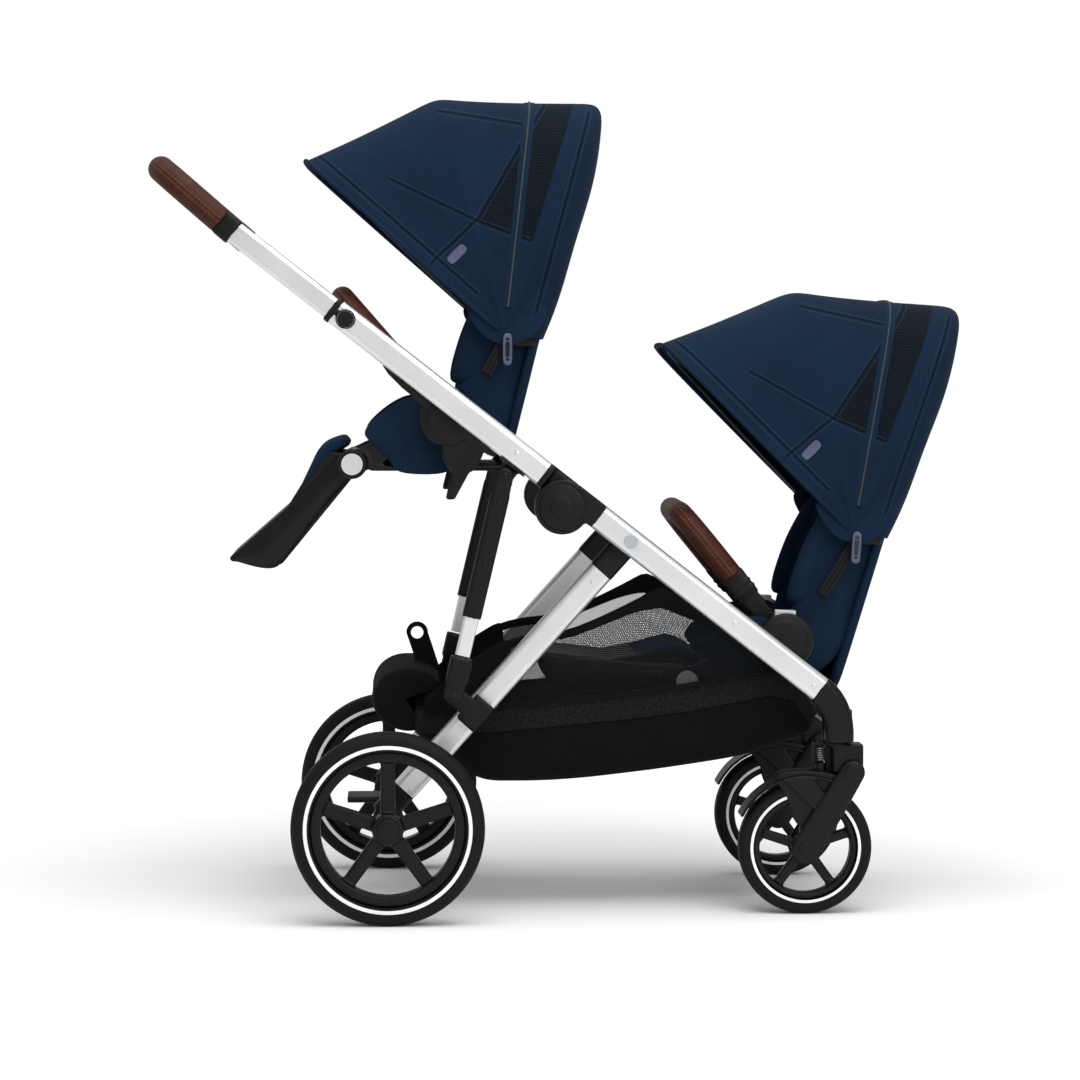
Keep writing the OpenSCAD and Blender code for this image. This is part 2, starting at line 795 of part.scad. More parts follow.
module rim(d, w, t, depth, hub, bore, spoke) {
    outer = d / 2 - t - run_fit;
    rotate([90, 0, 0]) difference() {
        union() {
            rotate_extrude() translate([outer - depth, -w * rim_share / 2]) square([depth, w * rim_share]);
            for (i = [0 : spoke_n - 1]) rotate([0, 0, 90 + i * 360 / spoke_n])
                translate([0, 0, -spoke_t / 2]) linear_extrude(spoke_t)
                polygon([[0, -spoke * spoke_root_share], [outer - depth / 2, -spoke / 2],
                    [outer - depth / 2, spoke / 2], [0, spoke * spoke_root_share]]);
            cylinder(d = hub, h = w, center = true);
        }
        cylinder(d = bore + 2 * run_fit, h = w + 2 * over, center = true);
    }
}

module rear_tyre(y) {
    color(rubber) translate([0, y, rear_wheel_d / 2]) tyre(rear_wheel_d, rear_tyre_w, rear_tyre_t);
}

module rear_rim(y) {
    color(black) translate([0, y, rear_wheel_d / 2])
        rim(rear_wheel_d, rear_tyre_w, rear_tyre_t, rear_rim_t, rear_hub_d, rear_axle_d, spoke_w);
}

module front_tyre(y) {
    color(rubber) translate([wheelbase, y, front_wheel_d / 2])
        tyre(front_wheel_d, front_tyre_w, front_tyre_t);
}

module front_rim(y) {
    color(black) translate([wheelbase, y, front_wheel_d / 2])
        rim(front_wheel_d, front_tyre_w, front_tyre_t, front_rim_t, front_hub_d, front_axle_d,
            spoke_w * front_wheel_d / rear_wheel_d);
}

// Caster: a swivel body under the elbow, and a sprung fork link that carries the wheel
caster_h = 8;
lug_back = 8;
lug_w = 44;
link_d = 34;
link_pin_d = 10;
arm_in = lug_w / 2 + gap;
arm_out = arm_in + fork_arm_t;
link = [swivel_x + link_ahead, link_z];
hub_place = [wheelbase, front_wheel_d / 2];
link_l = norm(hub_place - link);
link_turn = atan2(hub_place.y - link.y, hub_place.x - link.x);
guard_gap = 6;
guard_t = 4;
guard_r = front_wheel_d / 2 + guard_gap;
guard_from = 62;
guard_span = 92;
spring_back = 24;
spring_x = swivel_x - spring_back;
spring_top = swivel_z - caster_h;
spring_low = 222;
spring_seat_d = 16;
flange_l = 36;

module caster() {
    color(black) difference() {
        union() {
            translate([swivel_x, 0, swivel_z - caster_h]) cylinder(d = stem_d, h = caster_h - gap);
            translate([swivel_x, 0, swivel_z - over]) cylinder(d = swivel_pin_d, h = swivel_pin_h + over);
            at(link) disc(link_d, -lug_w / 2, lug_w / 2);
            block([swivel_x - lug_back, -lug_w / 2, link_z],
                [link.x + link_d / 2, lug_w / 2, swivel_z - caster_h / 2]);
            block([swivel_x - flange_l, -spring_seat_d / 2, spring_top],
                [swivel_x, spring_seat_d / 2, swivel_z - gap]);
        }
        at(link) disc(link_pin_d + 2 * run_fit, -lug_w, lug_w);
    }
}

module fork() {
    color(black) {
        for (side = [0, 1]) mirror([0, side, 0]) at(link) rotate([0, -link_turn, 0]) {
            disc(link_d - over, arm_in, arm_out);
            translate([0, (arm_in + arm_out) / 2, 0]) bar(link_l, fork_arm_t, fork_arm_h, fork_arm_t / 3);
            translate([link_l, 0, 0]) disc(fork_arm_h + over, arm_in, arm_out);
        }
        at(link) disc(link_pin_d, -arm_out, arm_out);
        at(hub_place) disc(front_axle_d, -arm_out, arm_out);
        at(hub_place) rotate([90, 0, 0]) rotate([0, 0, guard_from]) rotate_extrude(angle = guard_span)
            translate([guard_r, -arm_out]) square([guard_t, 2 * arm_out]);
        translate([spring_x, 0, hub_place.y + guard_r])
            cylinder(d = spring_seat_d, h = spring_low - hub_place.y - guard_r);
        guard_stay();
    }
}

// Stays that tie the mudguard's ends of width to the fork arms
stay_shares = [0.42, 0.62];
module guard_stay() {
    from = link + (hub_place - link) * stay_shares[0];
    to = link + (hub_place - link) * stay_shares[1];
    rise = guard_r + guard_t / 2;
    top = hub_place + rise * [cos(guard_from + guard_span / 4), sin(guard_from + guard_span / 4)];
    top_back = hub_place + rise * [cos(guard_from + guard_span / 2), sin(guard_from + guard_span / 2)];
    pair() plate([from, to, top_back, top], arm_in, arm_out);
}

// Suspension spring: one unbroken wire with straight ends, its least gap measured on its points
spring_r = (spring_d - spring_wire_d) / 2;
curl_rings = 8;
wire_sides = 6;
spring_h = spring_top - spring_low;
coil_h = spring_h - 2 * spring_wire_d - 2 * gap;

function coil_point(i) =
    let (turn = i / curl_rings)
    [spring_r * cos(360 * turn), spring_r * sin(360 * turn),
        spring_low + gap + spring_wire_d + coil_h * turn / spring_n];
coil_points = [for (i = [0 : spring_n * curl_rings]) coil_point(i)];
spring_line = concat([coil_points[0] - [0, 0, spring_wire_d]], coil_points,
    [coil_points[len(coil_points) - 1] + [0, 0, spring_wire_d]]);

function wire_ring(line, i, d) =
    let (
        before = line[max(i - 1, 0)],
        after = line[min(i + 1, len(line) - 1)],
        ahead = (after - before) / norm(after - before),
        out = [line[i].x, line[i].y, 0] / norm([line[i].x, line[i].y]),
        flat = out - ahead * (out * ahead),
        u = flat / norm(flat),
        v = cross(ahead, u)
    )
    [for (k = [0 : wire_sides - 1])
        line[i] + d / 2 * (cos(360 * k / wire_sides) * u + sin(360 * k / wire_sides) * v)];

module spring() {
    color(silver) translate([spring_x, 0, 0])
        skin([for (i = [0 : len(spring_line) - 1]) wire_ring(spring_line, i, spring_wire_d)]);
}

spring_gap = min([for (i = [0 : len(coil_points) - 1], j = [i + curl_rings / 2 : 1 : len(coil_points) - 1])
    norm(coil_points[i] - coil_points[j]) - spring_wire_d]);
echo("Least gap in the spring", spring_gap);

// Seat frame: the hub is the origin, X forward and Z up before the seat's own tilt
lower_tilt = -2;
upper_rest_turn = 180 + upper_leg_slope;
lower_rest_turn = 180 - lower_leg_rise - lower_tilt;
side_bar_t = 9;
side_bar_h = 34;
side_bar_r = 3;
side_inset = 1;
rest_pivot = [-140, -68];
base_t = 8;
back_t = 6;
back_inset = 5;
back_w = liner_w - 2 * back_inset;
back_foot = [82, -base_drop - base_t / 2];
base_front = back_foot.x - base_l;
side_out = hub_in + side_bar_t;
hanger_w = 56;
bumper_pin_d = 16;
bumper_rise = 131;
bumper_root_d = 40;
bumper_arm_h = 30;
bumper_arm_l = 118;
bumper_bend = 58;
rest_pin_d = 16;
rest_pin_slack = 0.5;
rest_pin_end = side_out - rest_pin_slack;
ring_d = 44;
ring_t = 6.5;
leg_button_t = 4.6;
leg_button_go = 3;
release_size = [30, 20, 10.7];
release_go = 4;
release_low = 32.3;
release_inset = 11;
release_from = hub_out - release_inset - release_size.y;
canopy_pin_d = 12;
canopy_arm_t = 8;
canopy_arm_h = 34;
canopy_slack = 1;
canopy_arm_in = liner_w / 2 + canopy_slack;
canopy_arm_out = canopy_arm_in + canopy_arm_t;
upper_canopy = [84.6, 120.8];
lower_canopy = [97.8, 158.3];
lower_canopy_turn = -1.7;
bow_disc_d = 28;
bow_disc_t = 10;
bow_disc_gap = 6;
bow_disc_in = canopy_w / 2 - canopy_t - bow_disc_gap - bow_disc_t;

module at_seat(place, tilt) {
    at(place) rotate([0, -tilt, 0]) children();
}

module at_back(lean) {
    at(back_foot) rotate([0, lean - 90, 0]) children();
}

// Height along the leaning back at a level above the hub
function back_at(z, lean) = (z - back_foot.y) / cos(lean);

module release_block(ease, go) {
    block([-release_size.x / 2 - ease, release_from - ease, release_low - go - ease],
        [release_size.x / 2 + ease, release_from + release_size.y + ease, release_low + release_size.z]);
}

module seat_shell(lean, canopy) {
    color(black) difference() {
        union() {
            pair() {
                disc(seat_hub_d, hub_in, hub_out);
                rotate([0, -atan2(rest_pivot.y, rest_pivot.x), 0])
                    block([0, hub_in + side_inset, -side_bar_h / 2],
                        [norm(rest_pivot), side_out - side_inset, side_bar_h / 2]);
                at(rest_pivot) disc(side_bar_h + side_bar_r, hub_in, side_out);
                block([-hanger_w / 2, hub_in + 2 * side_inset, -base_drop - base_t / 2],
                    [hanger_w / 2, side_out - 2 * side_inset, 0]);
                disc(bumper_pin_d, bumper_in, hub_in + over);
                at(canopy) disc(canopy_pin_d, canopy_arm_in, canopy_w / 2 - canopy_t - 2 * gap);
                canopy_arm(canopy, lean);
            }
            block([base_front, -side_out, -base_drop - base_t], [back_foot.x, side_out, -base_drop]);
            at_back(lean) bar(back_l, back_w, back_t, back_t / 3);
            right_side() at(rest_pivot) disc(ring_d, hub_in + side_bar_r, side_out + ring_t);
        }
        pair() {
            disc(seat_pin_d + 2 * run_fit, seat_pin_in - gap, hub_out + over);
            at(rest_pivot) disc(rest_pin_d + 2 * run_fit, hub_in - over, side_out);
            release_block(gap, release_go + over);
        }
        right_side() at(rest_pivot) disc(leg_button_d + 2 * gap, side_out, side_out + ring_t + over);
    }
}

// Arm from the back's edge forward to the canopy pivot, clear of the liner's wing
module canopy_arm(canopy, lean) {
    back_x = back_foot.x + (canopy.y - back_foot.y) * tan(lean);
    at(canopy) disc(canopy_arm_h, canopy_arm_in, canopy_arm_out);
    block([canopy.x, canopy_arm_in, canopy.y - canopy_arm_h / 2],
        [back_x, canopy_arm_out, canopy.y + canopy_arm_h / 2]);
    at_back(lean) translate([back_at(canopy.y, lean) - canopy_arm_h / 2, 0, 0])
        block([0, 0, -back_t / 2], [canopy_arm_h, canopy_arm_out - side_inset, back_t / 2]);
}

// Padded liner: a loft along the base, round the seat corner and up the back, with raised wings
liner_bend = 110;
liner_nose = 5;
liner_top = 8;
liner_rings = 37;
channel_step = 6;
channel_share = 0.8;
draw_in_share = 0.03;
crown_share = 0.08;
wing_across_shares = [[0, 0], [0.3, 0], [0.55, 0.08], [0.68, 0.35], [0.8, 0.88], [0.9, 1],
    [0.97, 0.88], [1, 0.55]];
wing_along_shares = [[0, 0.15], [0.1, 0.55], [0.28, 1], [0.62, 1], [0.85, 0.5], [1, 0.2]];
end_along_shares = [[0, 0.35], [0.03, 0.75], [0.07, 1], [0.93, 1], [0.97, 0.75], [1, 0.35]];
across_shares = [-1, -0.97, -0.9, -0.8, -0.68, -0.55, -0.3, 0, 0.3, 0.55, 0.68, 0.8, 0.9, 0.97, 1];

function liner_frame(share, lean) =
    let (
        face = [-cos(lean), sin(lean)],
        climb = [sin(lean), cos(lean)],
        q = back_foot + (back_t / 2 + gap) * face,
        level = gap - base_drop,
        mid_z = level + liner_bend,
        mid_x = q.x - (liner_bend - (mid_z - q.y) * sin(lean)) / cos(lean),
        mid = [mid_x, mid_z],
        front = base_front - liner_nose,
        seat_run = mid_x - front,
        arc = 90 - lean,
        arc_run = liner_bend * arc * PI / 180,
        bend_end = mid - liner_bend * face,
        back_run = back_l - liner_top - (bend_end - q) * climb,
        s = share * (seat_run + arc_run + back_run),
        turn = min(max(s - seat_run, 0) / arc_run, 1) * arc
    )
    s < seat_run ? [front + s, level, 90]
    : s < seat_run + arc_run ? concat(mid - liner_bend * [cos(90 + turn), sin(90 + turn)], 90 + turn)
    : concat(bend_end + (s - seat_run - arc_run) * climb, 90 + arc);

function liner_ring(i, lean) =
    let (
        share = i / (liner_rings - 1),
        f = liner_frame(share, lean),
        up = [cos(f[2]), sin(f[2])],
        wing = lookup(share, wing_along_shares) * (wing_t - liner_t),
        puff = lookup(share, end_along_shares),
        sewn = i % channel_step == 0 ? channel_share : 1,
        half = liner_w / 2 * (1 - draw_in_share * sin(180 * share)),
        top = [for (y = across_shares)
            let (
                crown = 1 + crown_share * cos(90 * y),
                n = (liner_t * crown * sewn + wing * lookup(abs(y), wing_across_shares)) * puff,
                p = [f.x, f.y] + n * up
            )
            [p.x, y * half, p.y]],
        bottom = [for (j = [len(across_shares) - 1 : -1 : 0]) [f.x, across_shares[j] * half, f.y]]
    )
    concat(top, bottom);

module liner(lean) {
    color(navy) skin([for (i = [0 : liner_rings - 1]) liner_ring(i, lean)]);
}

// Canopy: bows fan out from the side pivots, each a flat side that rolls over into a broad top
rear_shares = [[0.176, 0.06], [0.235, 0.205], [0.269, 0.332], [0.344, 0.57], [0.378, 0.8], [0.371, 0.879]];
front_shares = [[0.364, 0.88], [0.18, 0.889], [-0.05, 0.894], [-0.268, 0.896], [-0.43, 0.817],
    [-0.59, 0.738], [-0.753, 0.658]];
arch_shares = [[0.08, 1], [0.32, 1], [0.58, 0.985], [0.78, 0.95], [0.9, 0.86], [0.965, 0.7],
    [0.99, 0.48], [1, 0.2]];
full_arch_shares = concat(arch_shares,
    [for (j = [len(arch_shares) - 1 : -1 : 0]) [arch_shares[j].x, -arch_shares[j].y]]);

function arch_point(rib, arch_share, inset) =
    let (
        reach = canopy_reach * norm(rib),
        out = reach * arch_share.x - inset * arch_share.x ^ 2,
        p = rib / norm(rib) * out
    )
    [p.x, (canopy_w / 2 - inset) * arch_share.y, p.y];

function arch_ring(rib) = concat(
    [for (a = full_arch_shares) arch_point(rib, a, 0)],
    [for (j = [len(full_arch_shares) - 1 : -1 : 0]) arch_point(rib, full_arch_shares[j], canopy_t)]);

module canopy(ribs) {
    color(navy) skin([for (rib = ribs) arch_ring(rib)]);
}

// Bow rod inside the front hem, with a bored disc at each pivot
bow_slack = 0.8;
bow_set = canopy_t + bow_d / 2 + bow_slack;
bow_back_share = 0.2;
bow_sides = 8;
tip_rib = front_shares[len(front_shares) - 1];
bow_rib = tip_rib + bow_back_share * (front_shares[len(front_shares) - 2] - tip_rib);
bow_line = [for (a = full_arch_shares) arch_point(bow_rib, a, bow_set)];
bow_across = [bow_rib.y, 0, -bow_rib.x] / norm(bow_rib);

function bow_ring(i) =
    let (
        ahead = bow_line[min(i + 1, len(bow_line) - 1)] - bow_line[max(i - 1, 0)],
        side = cross(ahead, bow_across) / norm(ahead)
    )
    [for (k = [0 : bow_sides - 1])
        bow_line[i] + bow_d / 2 * (cos(360 * k / bow_sides) * side + sin(360 * k / bow_sides) * bow_across)];

module canopy_bow() {
    color(black) difference() {
        union() {
            skin([for (i = [0 : len(bow_line) - 1]) bow_ring(i)]);
            pair() {
                disc(bow_disc_d, bow_disc_in, bow_disc_in + bow_disc_t);
                rotate([0, -atan2(bow_rib.y, bow_rib.x), 0])
                    block([0, bow_disc_in, -bow_d / 2],
                        [canopy_reach * arch_shares[1].x / 2, bow_disc_in + bow_disc_t, bow_d / 2]);
            }
        }
        disc(canopy_pin_d + 2 * run_fit, -canopy_w, canopy_w);
    }
}

// Leg rest: a curved board between two wedge flanks, swung on the pins at the front of the side bars
rest_barrel_d = 36;
rest_flank_t = 8;
rest_board_shares = [[0, 0.087], [0.095, 0.186], [0.5, 0.038], [1, 0.01], [1, -0.02], [0.5, -0.015],
    [0.095, 0.12], [0, 0.03]];
rest_shares = [[0, 0.087], [0.095, 0.186], [0.5, 0.038], [1, 0.01], [1, -0.02], [0.76, -0.233],
    [0.06, -0.075]];

module leg_rest(turn) {
    color(black) at(rest_pivot) {
        disc(rest_barrel_d, -bumper_out, bumper_out);
        disc(rest_pin_d, -rest_pin_end, rest_pin_end);
        rotate([0, -turn, 0]) {
            plate([for (share = rest_board_shares) leg_rest_l * [share.x, -share.y]],
                -leg_rest_w / 2 + run_fit, leg_rest_w / 2 - run_fit);
            pair() plate([for (share = rest_shares) leg_rest_l * [share.x, -share.y]],
                leg_rest_w / 2 - rest_flank_t, leg_rest_w / 2);
        }
    }
}

module leg_button() {
    color(grey) right_side() at(rest_pivot)
        disc(leg_button_d, side_out + leg_button_go + gap, side_out + leg_button_go + gap + leg_button_t);
}

module release_buttons() {
    color(grey) pair() release_block(0, 0);
}

module bumper_arms() {
    color(black) pair() rotate([0, -bumper_rise, 0]) difference() {
        union() {
            disc(bumper_root_d, bumper_in, bumper_out);
            translate([0, (bumper_in + bumper_out) / 2, 0])
                bar(bumper_arm_l, bumper_t, bumper_arm_h, side_bar_r);
        }
        disc(bumper_pin_d + 2 * run_fit, bumper_in - over, bumper_out + over);
    }
}

module bumper_grip() {
    color(leather) rotate([0, -bumper_rise, 0])
        bow_bar(bumper_d, bumper_arm_l + gap, bumper_reach, bumper_bend, (bumper_in + bumper_out) / 2);
}

module at_upper() {
    at_seat(upper_hub, 0) children();
}

module at_lower() {
    at_seat(lower_hub, lower_tilt) children();
}

module at_upper_canopy() {
    at_upper() at(upper_canopy) children();
}

module at_lower_canopy() {
    at_lower() at(lower_canopy) rotate([0, -lower_canopy_turn, 0]) children();
}

// One line for each piece
in_row() lower_tubes();
in_row() lower_hubs();
in_row() frame_bolts();
in_row() front_elbows();
in_row() front_crossbar();
in_row() lower_adapters();
in_row() basket();
in_row() basket_mesh();
in_row() rear_legs();
in_row() leg_caps();
in_row() rear_axle();
in_row() strut_clevises();
in_row() brake_pedal();
in_row() upper_tubes();
in_row() upper_hubs();
in_row() tube_collars();
in_row() strut_brackets();
in_row() upper_adapters();
in_row() handle_tubes();
in_row() handle_grip();
in_row() grip_collars();
in_row() height_button_left();
in_row() height_button_right();
in_row() strut_sleeves();
in_row() strut_rods();
in_row() rear_tyre(rear_y);  // rear_tyre_left
in_row() rear_rim(rear_y);  // rear_rim_left
in_row() rear_tyre(-rear_y);  // rear_tyre_right
in_row() rear_rim(-rear_y);  // rear_rim_right
in_row() front_tyre(front_y);  // front_tyre_left
in_row() front_rim(front_y);  // front_rim_left
in_row() front_tyre(-front_y);  // front_tyre_right
in_row() front_rim(-front_y);  // front_rim_right
in_row() translate([0, front_y, 0]) caster();  // caster_left
in_row() translate([0, -front_y, 0]) caster();  // caster_right
in_row() translate([0, front_y, 0]) fork();  // fork_left
in_row() translate([0, -front_y, 0]) fork();  // fork_right
in_row() translate([0, front_y, 0]) spring();  // spring_left
in_row() translate([0, -front_y, 0]) spring();  // spring_right
in_row() at_upper() seat_shell(upper_lean, upper_canopy);  // upper_seat_shell
in_row() at_upper() liner(upper_lean);  // upper_liner
in_row() at_upper_canopy() canopy(rear_shares);  // upper_canopy_rear
in_row() at_upper_canopy() canopy(front_shares);  // upper_canopy_front
in_row() at_upper_canopy() canopy_bow();  // upper_canopy_bow
in_row() at_upper() leg_rest(upper_rest_turn);  // upper_leg_rest
in_row() at_upper() leg_button();  // upper_leg_button
in_row() at_upper() bumper_arms();  // upper_bumper_arms
in_row() at_upper() bumper_grip();  // upper_bumper_grip
in_row() at_upper() release_buttons();  // upper_release
in_row() at_lower() seat_shell(lower_lean, lower_canopy);  // lower_seat_shell
in_row() at_lower() liner(lower_lean);  // lower_liner
in_row() at_lower_canopy() canopy(rear_shares);  // lower_canopy_rear
in_row() at_lower_canopy() canopy(front_shares);  // lower_canopy_front
in_row() at_lower_canopy() canopy_bow();  // lower_canopy_bow
in_row() at_lower() leg_rest(lower_rest_turn);  // lower_leg_rest
in_row() at_lower() leg_button();  // lower_leg_button
in_row() at_lower() bumper_arms();  // lower_bumper_arms
in_row() at_lower() bumper_grip();  // lower_bumper_grip
in_row() at_lower() release_buttons();  // lower_release
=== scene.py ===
# Tandem stroller: the looks of two hooded seats in line on one folding frame.
# X runs forward, Y to the left side and Z up from the ground, all in metres.
import json
import math

import bpy
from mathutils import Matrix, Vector

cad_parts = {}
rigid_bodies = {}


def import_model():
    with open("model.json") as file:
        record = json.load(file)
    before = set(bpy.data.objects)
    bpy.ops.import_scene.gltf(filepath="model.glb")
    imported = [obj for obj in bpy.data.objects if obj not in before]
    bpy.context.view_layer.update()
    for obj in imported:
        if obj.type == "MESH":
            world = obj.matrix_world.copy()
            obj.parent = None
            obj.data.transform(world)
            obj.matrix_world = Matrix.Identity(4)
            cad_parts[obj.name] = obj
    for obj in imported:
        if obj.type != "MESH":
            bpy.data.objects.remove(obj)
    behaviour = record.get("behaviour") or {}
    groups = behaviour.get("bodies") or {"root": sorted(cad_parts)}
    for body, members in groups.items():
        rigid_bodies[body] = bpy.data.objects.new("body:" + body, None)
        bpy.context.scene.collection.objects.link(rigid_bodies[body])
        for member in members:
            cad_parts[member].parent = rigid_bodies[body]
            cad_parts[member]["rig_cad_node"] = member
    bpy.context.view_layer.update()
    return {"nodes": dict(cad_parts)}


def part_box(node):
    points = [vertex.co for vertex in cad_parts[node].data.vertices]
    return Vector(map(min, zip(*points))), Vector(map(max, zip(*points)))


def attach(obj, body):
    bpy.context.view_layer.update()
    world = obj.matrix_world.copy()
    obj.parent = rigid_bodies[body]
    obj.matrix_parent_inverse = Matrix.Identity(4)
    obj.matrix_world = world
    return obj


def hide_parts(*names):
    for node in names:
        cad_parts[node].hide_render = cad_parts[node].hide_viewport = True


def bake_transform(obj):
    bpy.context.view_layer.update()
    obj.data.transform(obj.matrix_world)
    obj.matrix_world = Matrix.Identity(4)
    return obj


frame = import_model()
bpy.ops.object.select_all(action="DESELECT")


# Main tubes, rear legs and handle tubes: extruded aluminium of rounded box section, bead blasted and
# clear anodised. The soft satin skin gathers the studio light in one long pale streak along each tube.
def srgb(colour):
    """A written sRGB hex colour as the linear colour that a shader takes."""
    parts = [int(colour[i:i + 2], 16) / 255 for i in (1, 3, 5)]
    return tuple(c / 12.92 if c <= 0.04045 else ((c + 0.055) / 1.055) ** 2.4 for c in parts) + (1,)


def wire(material, source, socket):
    """Links a chosen output, or a node's first live output, to a socket."""
    if isinstance(source, bpy.types.Node):
        source = next(output for output in source.outputs if output.enabled)
    material.node_tree.links.new(source, socket)


def add(material, kind, sockets=(), stops=(), to=None, **settings):
    """Adds one shader node: values or nodes for its sockets, a ramp's stops, and what it feeds on the surface."""
    node = material.node_tree.nodes.new("ShaderNode" + kind)
    for name, value in settings.items():
        setattr(node, name, value)
    for socket, value in dict(sockets).items():
        if isinstance(value, (bpy.types.Node, bpy.types.NodeSocket)):
            wire(material, value, node.inputs[socket])
        else:
            node.inputs[socket].default_value = value
    for k, (position, colour) in enumerate(stops):
        node.color_ramp.elements[k].position = position
        node.color_ramp.elements[k].color = srgb(colour)
    if to:
        wire(material, node, material.node_tree.nodes["Principled BSDF"].inputs[to])
    return node


def finish(name, sockets):
    """A new material, with the given values on its surface shader's own sockets."""
    material = bpy.data.materials.new(name)
    material.use_nodes = True
    for socket, value in sockets.items():
        material.node_tree.nodes["Principled BSDF"].inputs[socket].default_value = value
    return material


def dress(piece, material):
    """Gives a piece one material in place of what it had."""
    piece.data.materials.clear()
    piece.data.materials.append(material)


# Blasted skin: a cloud of fine pits, 1.2 mm here to show at all, on a metal a shade under white
anodised = finish("anodised_aluminium", {"Metallic": 0.85, "Roughness": 0.36})
place = add(anodised, "TexCoord").outputs["Object"]
pits = add(anodised, "TexNoise", {"Vector": place, "Scale": 800, "Detail": 2})
cast = add(anodised, "TexNoise", {"Vector": place, "Scale": 9, "Detail": 3})
add(anodised, "ValToRGB", {"Fac": cast}, stops=((0.3, "#d2d3d4"), (0.7, "#dfdfdf")), to="Base Color")
add(anodised, "Bump", {"Height": pits, "Strength": 0.02, "Distance": 0.0002}, to="Normal")
for tube in ("lower_tubes", "upper_tubes", "rear_legs", "handle_tubes", "front_crossbar"):
    dress(frame["nodes"][tube], anodised)


# Frame bolts: turned steel, zinc plated, pressed through the hubs and legs that they join. Faint turning marks
# run around the shaft. The springs beside the casters take the same finish further on.
plated = finish("plated_steel", {"Metallic": 1, "Roughness": 0.34, "Base Color": srgb("#b9bcc0")})
place = add(plated, "TexCoord").outputs["Object"]
turning = add(plated, "TexWave", {"Vector": place, "Scale": 180, "Distortion": 1.5}, bands_direction="Y")
add(plated, "Bump", {"Height": turning.outputs["Fac"], "Strength": 0.08, "Distance": 0.0003}, to="Normal")
dress(frame["nodes"]["frame_bolts"], plated)


# Black mouldings: hubs, sockets, caps, sleeves, forks and seat frames, injection moulded in glass filled
# nylon. The mould's spark eroded skin leaves a fine even grain, and its edges come out softly rounded.
grained = finish("grained_nylon", {"Roughness": 0.42, "Specular IOR Level": 0.22})
place = add(grained, "TexCoord").outputs["Object"]
grit = add(grained, "TexVoronoi", {"Vector": place, "Scale": 620})
cloud = add(grained, "TexNoise", {"Vector": place, "Scale": 26, "Detail": 4})
add(grained, "ValToRGB", {"Fac": cloud}, stops=((0.35, "#040405"), (0.7, "#09090a")), to="Base Color")
add(grained, "Bump", {"Height": grit, "Strength": 0.14, "Distance": 0.0005}, to="Normal")


def fit(piece, material, slot, body):
    """Gives a piece its material and the body that it moves with; its slot is not used."""
    dress(piece, material)
    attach(piece, body)


def pick(piece):
    """Makes a piece the active one and the only one selected."""
    bpy.ops.object.select_all(action="DESELECT")
    bpy.context.view_layer.objects.active = piece
    piece.select_set(True)


def soften(piece, rounds):
    """Draws the picked piece's edges in by some rounds of smoothing."""
    smooth = piece.modifiers.new("Soften", "SMOOTH")
    smooth.factor = 0.5
    smooth.iterations = rounds
    bpy.ops.object.modifier_apply(modifier="Soften")


def reskin(piece, gap, voxel, rounds):
    """Joins a piece's corners across small gaps, lays one even skin over it and softens that."""
    pick(piece)
    bpy.ops.object.mode_set(mode="EDIT")
    bpy.ops.mesh.select_all(action="SELECT")
    bpy.ops.mesh.remove_doubles(threshold=gap)
    bpy.ops.object.mode_set(mode="OBJECT")
    piece.modifiers.new("Skin", "REMESH").voxel_size = voxel
    bpy.ops.object.modifier_apply(modifier="Skin")
    soften(piece, rounds)


def moulded(source, body, voxel=0.002, rounds=8, faces=30000):
    """Stands a copy of a CAD moulding in its place, with its edges rounded off as a mould leaves them."""
    piece = frame["nodes"][source].copy()
    piece.data = piece.data.copy()
    piece.name = source + "_moulding"
    piece.parent = None
    del piece["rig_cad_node"]
    bpy.context.scene.collection.objects.link(piece)
    reskin(piece, 0.00001, voxel, rounds)
    triangles = sum(len(face.vertices) - 2 for face in piece.data.polygons)
    if triangles > faces:
        piece.modifiers.new("Thin", "DECIMATE").ratio = faces / triangles
        bpy.ops.object.modifier_apply(modifier="Thin")
    bpy.ops.object.shade_smooth()
    piece.select_set(False)
    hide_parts(source)
    fit(piece, grained, "black_plastic", body)
    return piece


for source, body in (
    ("lower_hubs", "chassis"), ("front_elbows", "chassis"), ("lower_adapters", "chassis"),
    ("leg_caps", "rear_frame"), ("strut_clevises", "rear_frame"), ("rear_axle", "rear_frame"),
    ("brake_pedal", "brake"), ("upper_hubs", "upper_frame"), ("tube_collars", "upper_frame"),
    ("strut_brackets", "upper_frame"), ("upper_adapters", "upper_frame"), ("strut_sleeves", "struts"),
    ("grip_collars", "handle"),
    ("caster_left", "caster_left"), ("caster_right", "caster_right"),
    ("fork_left", "fork_left"), ("fork_right", "fork_right"),
    ("upper_bumper_arms", "upper_bumper"), ("lower_bumper_arms", "lower_bumper"),
):
    moulded(source, body)
for seat in ("upper", "lower"):
    moulded(seat + "_seat_shell", seat + "_seat", voxel=0.003, faces=60000)


# Wheels: five spoke rims moulded in the same black nylon, the spokes running into the hub and the rim
# with wide fillets, under solid foam tyres with a plain worn tread and smooth sidewalls.
rubber = finish("foam_rubber", {"Roughness": 0.66, "Specular IOR Level": 0.2})
place = add(rubber, "TexCoord").outputs["Object"]
scuff = add(rubber, "TexNoise", {"Vector": place, "Scale": 55, "Detail": 5})
add(rubber, "ValToRGB", {"Fac": scuff}, stops=((0.35, "#060607"), (0.75, "#0d0d0d")), to="Base Color")
# Tread lines run around the tyre every 7 mm across its width
tread = add(rubber, "TexWave", {"Vector": place, "Scale": 45, "Distortion": 0}, bands_direction="Y")
pores = add(rubber, "TexNoise", {"Vector": place, "Scale": 700})
worn = add(rubber, "Mix", {"Factor": 0.35, "A": tread.outputs["Fac"], "B": pores})
add(rubber, "Bump", {"Height": worn, "Strength": 0.25, "Distance": 0.0006}, to="Normal")

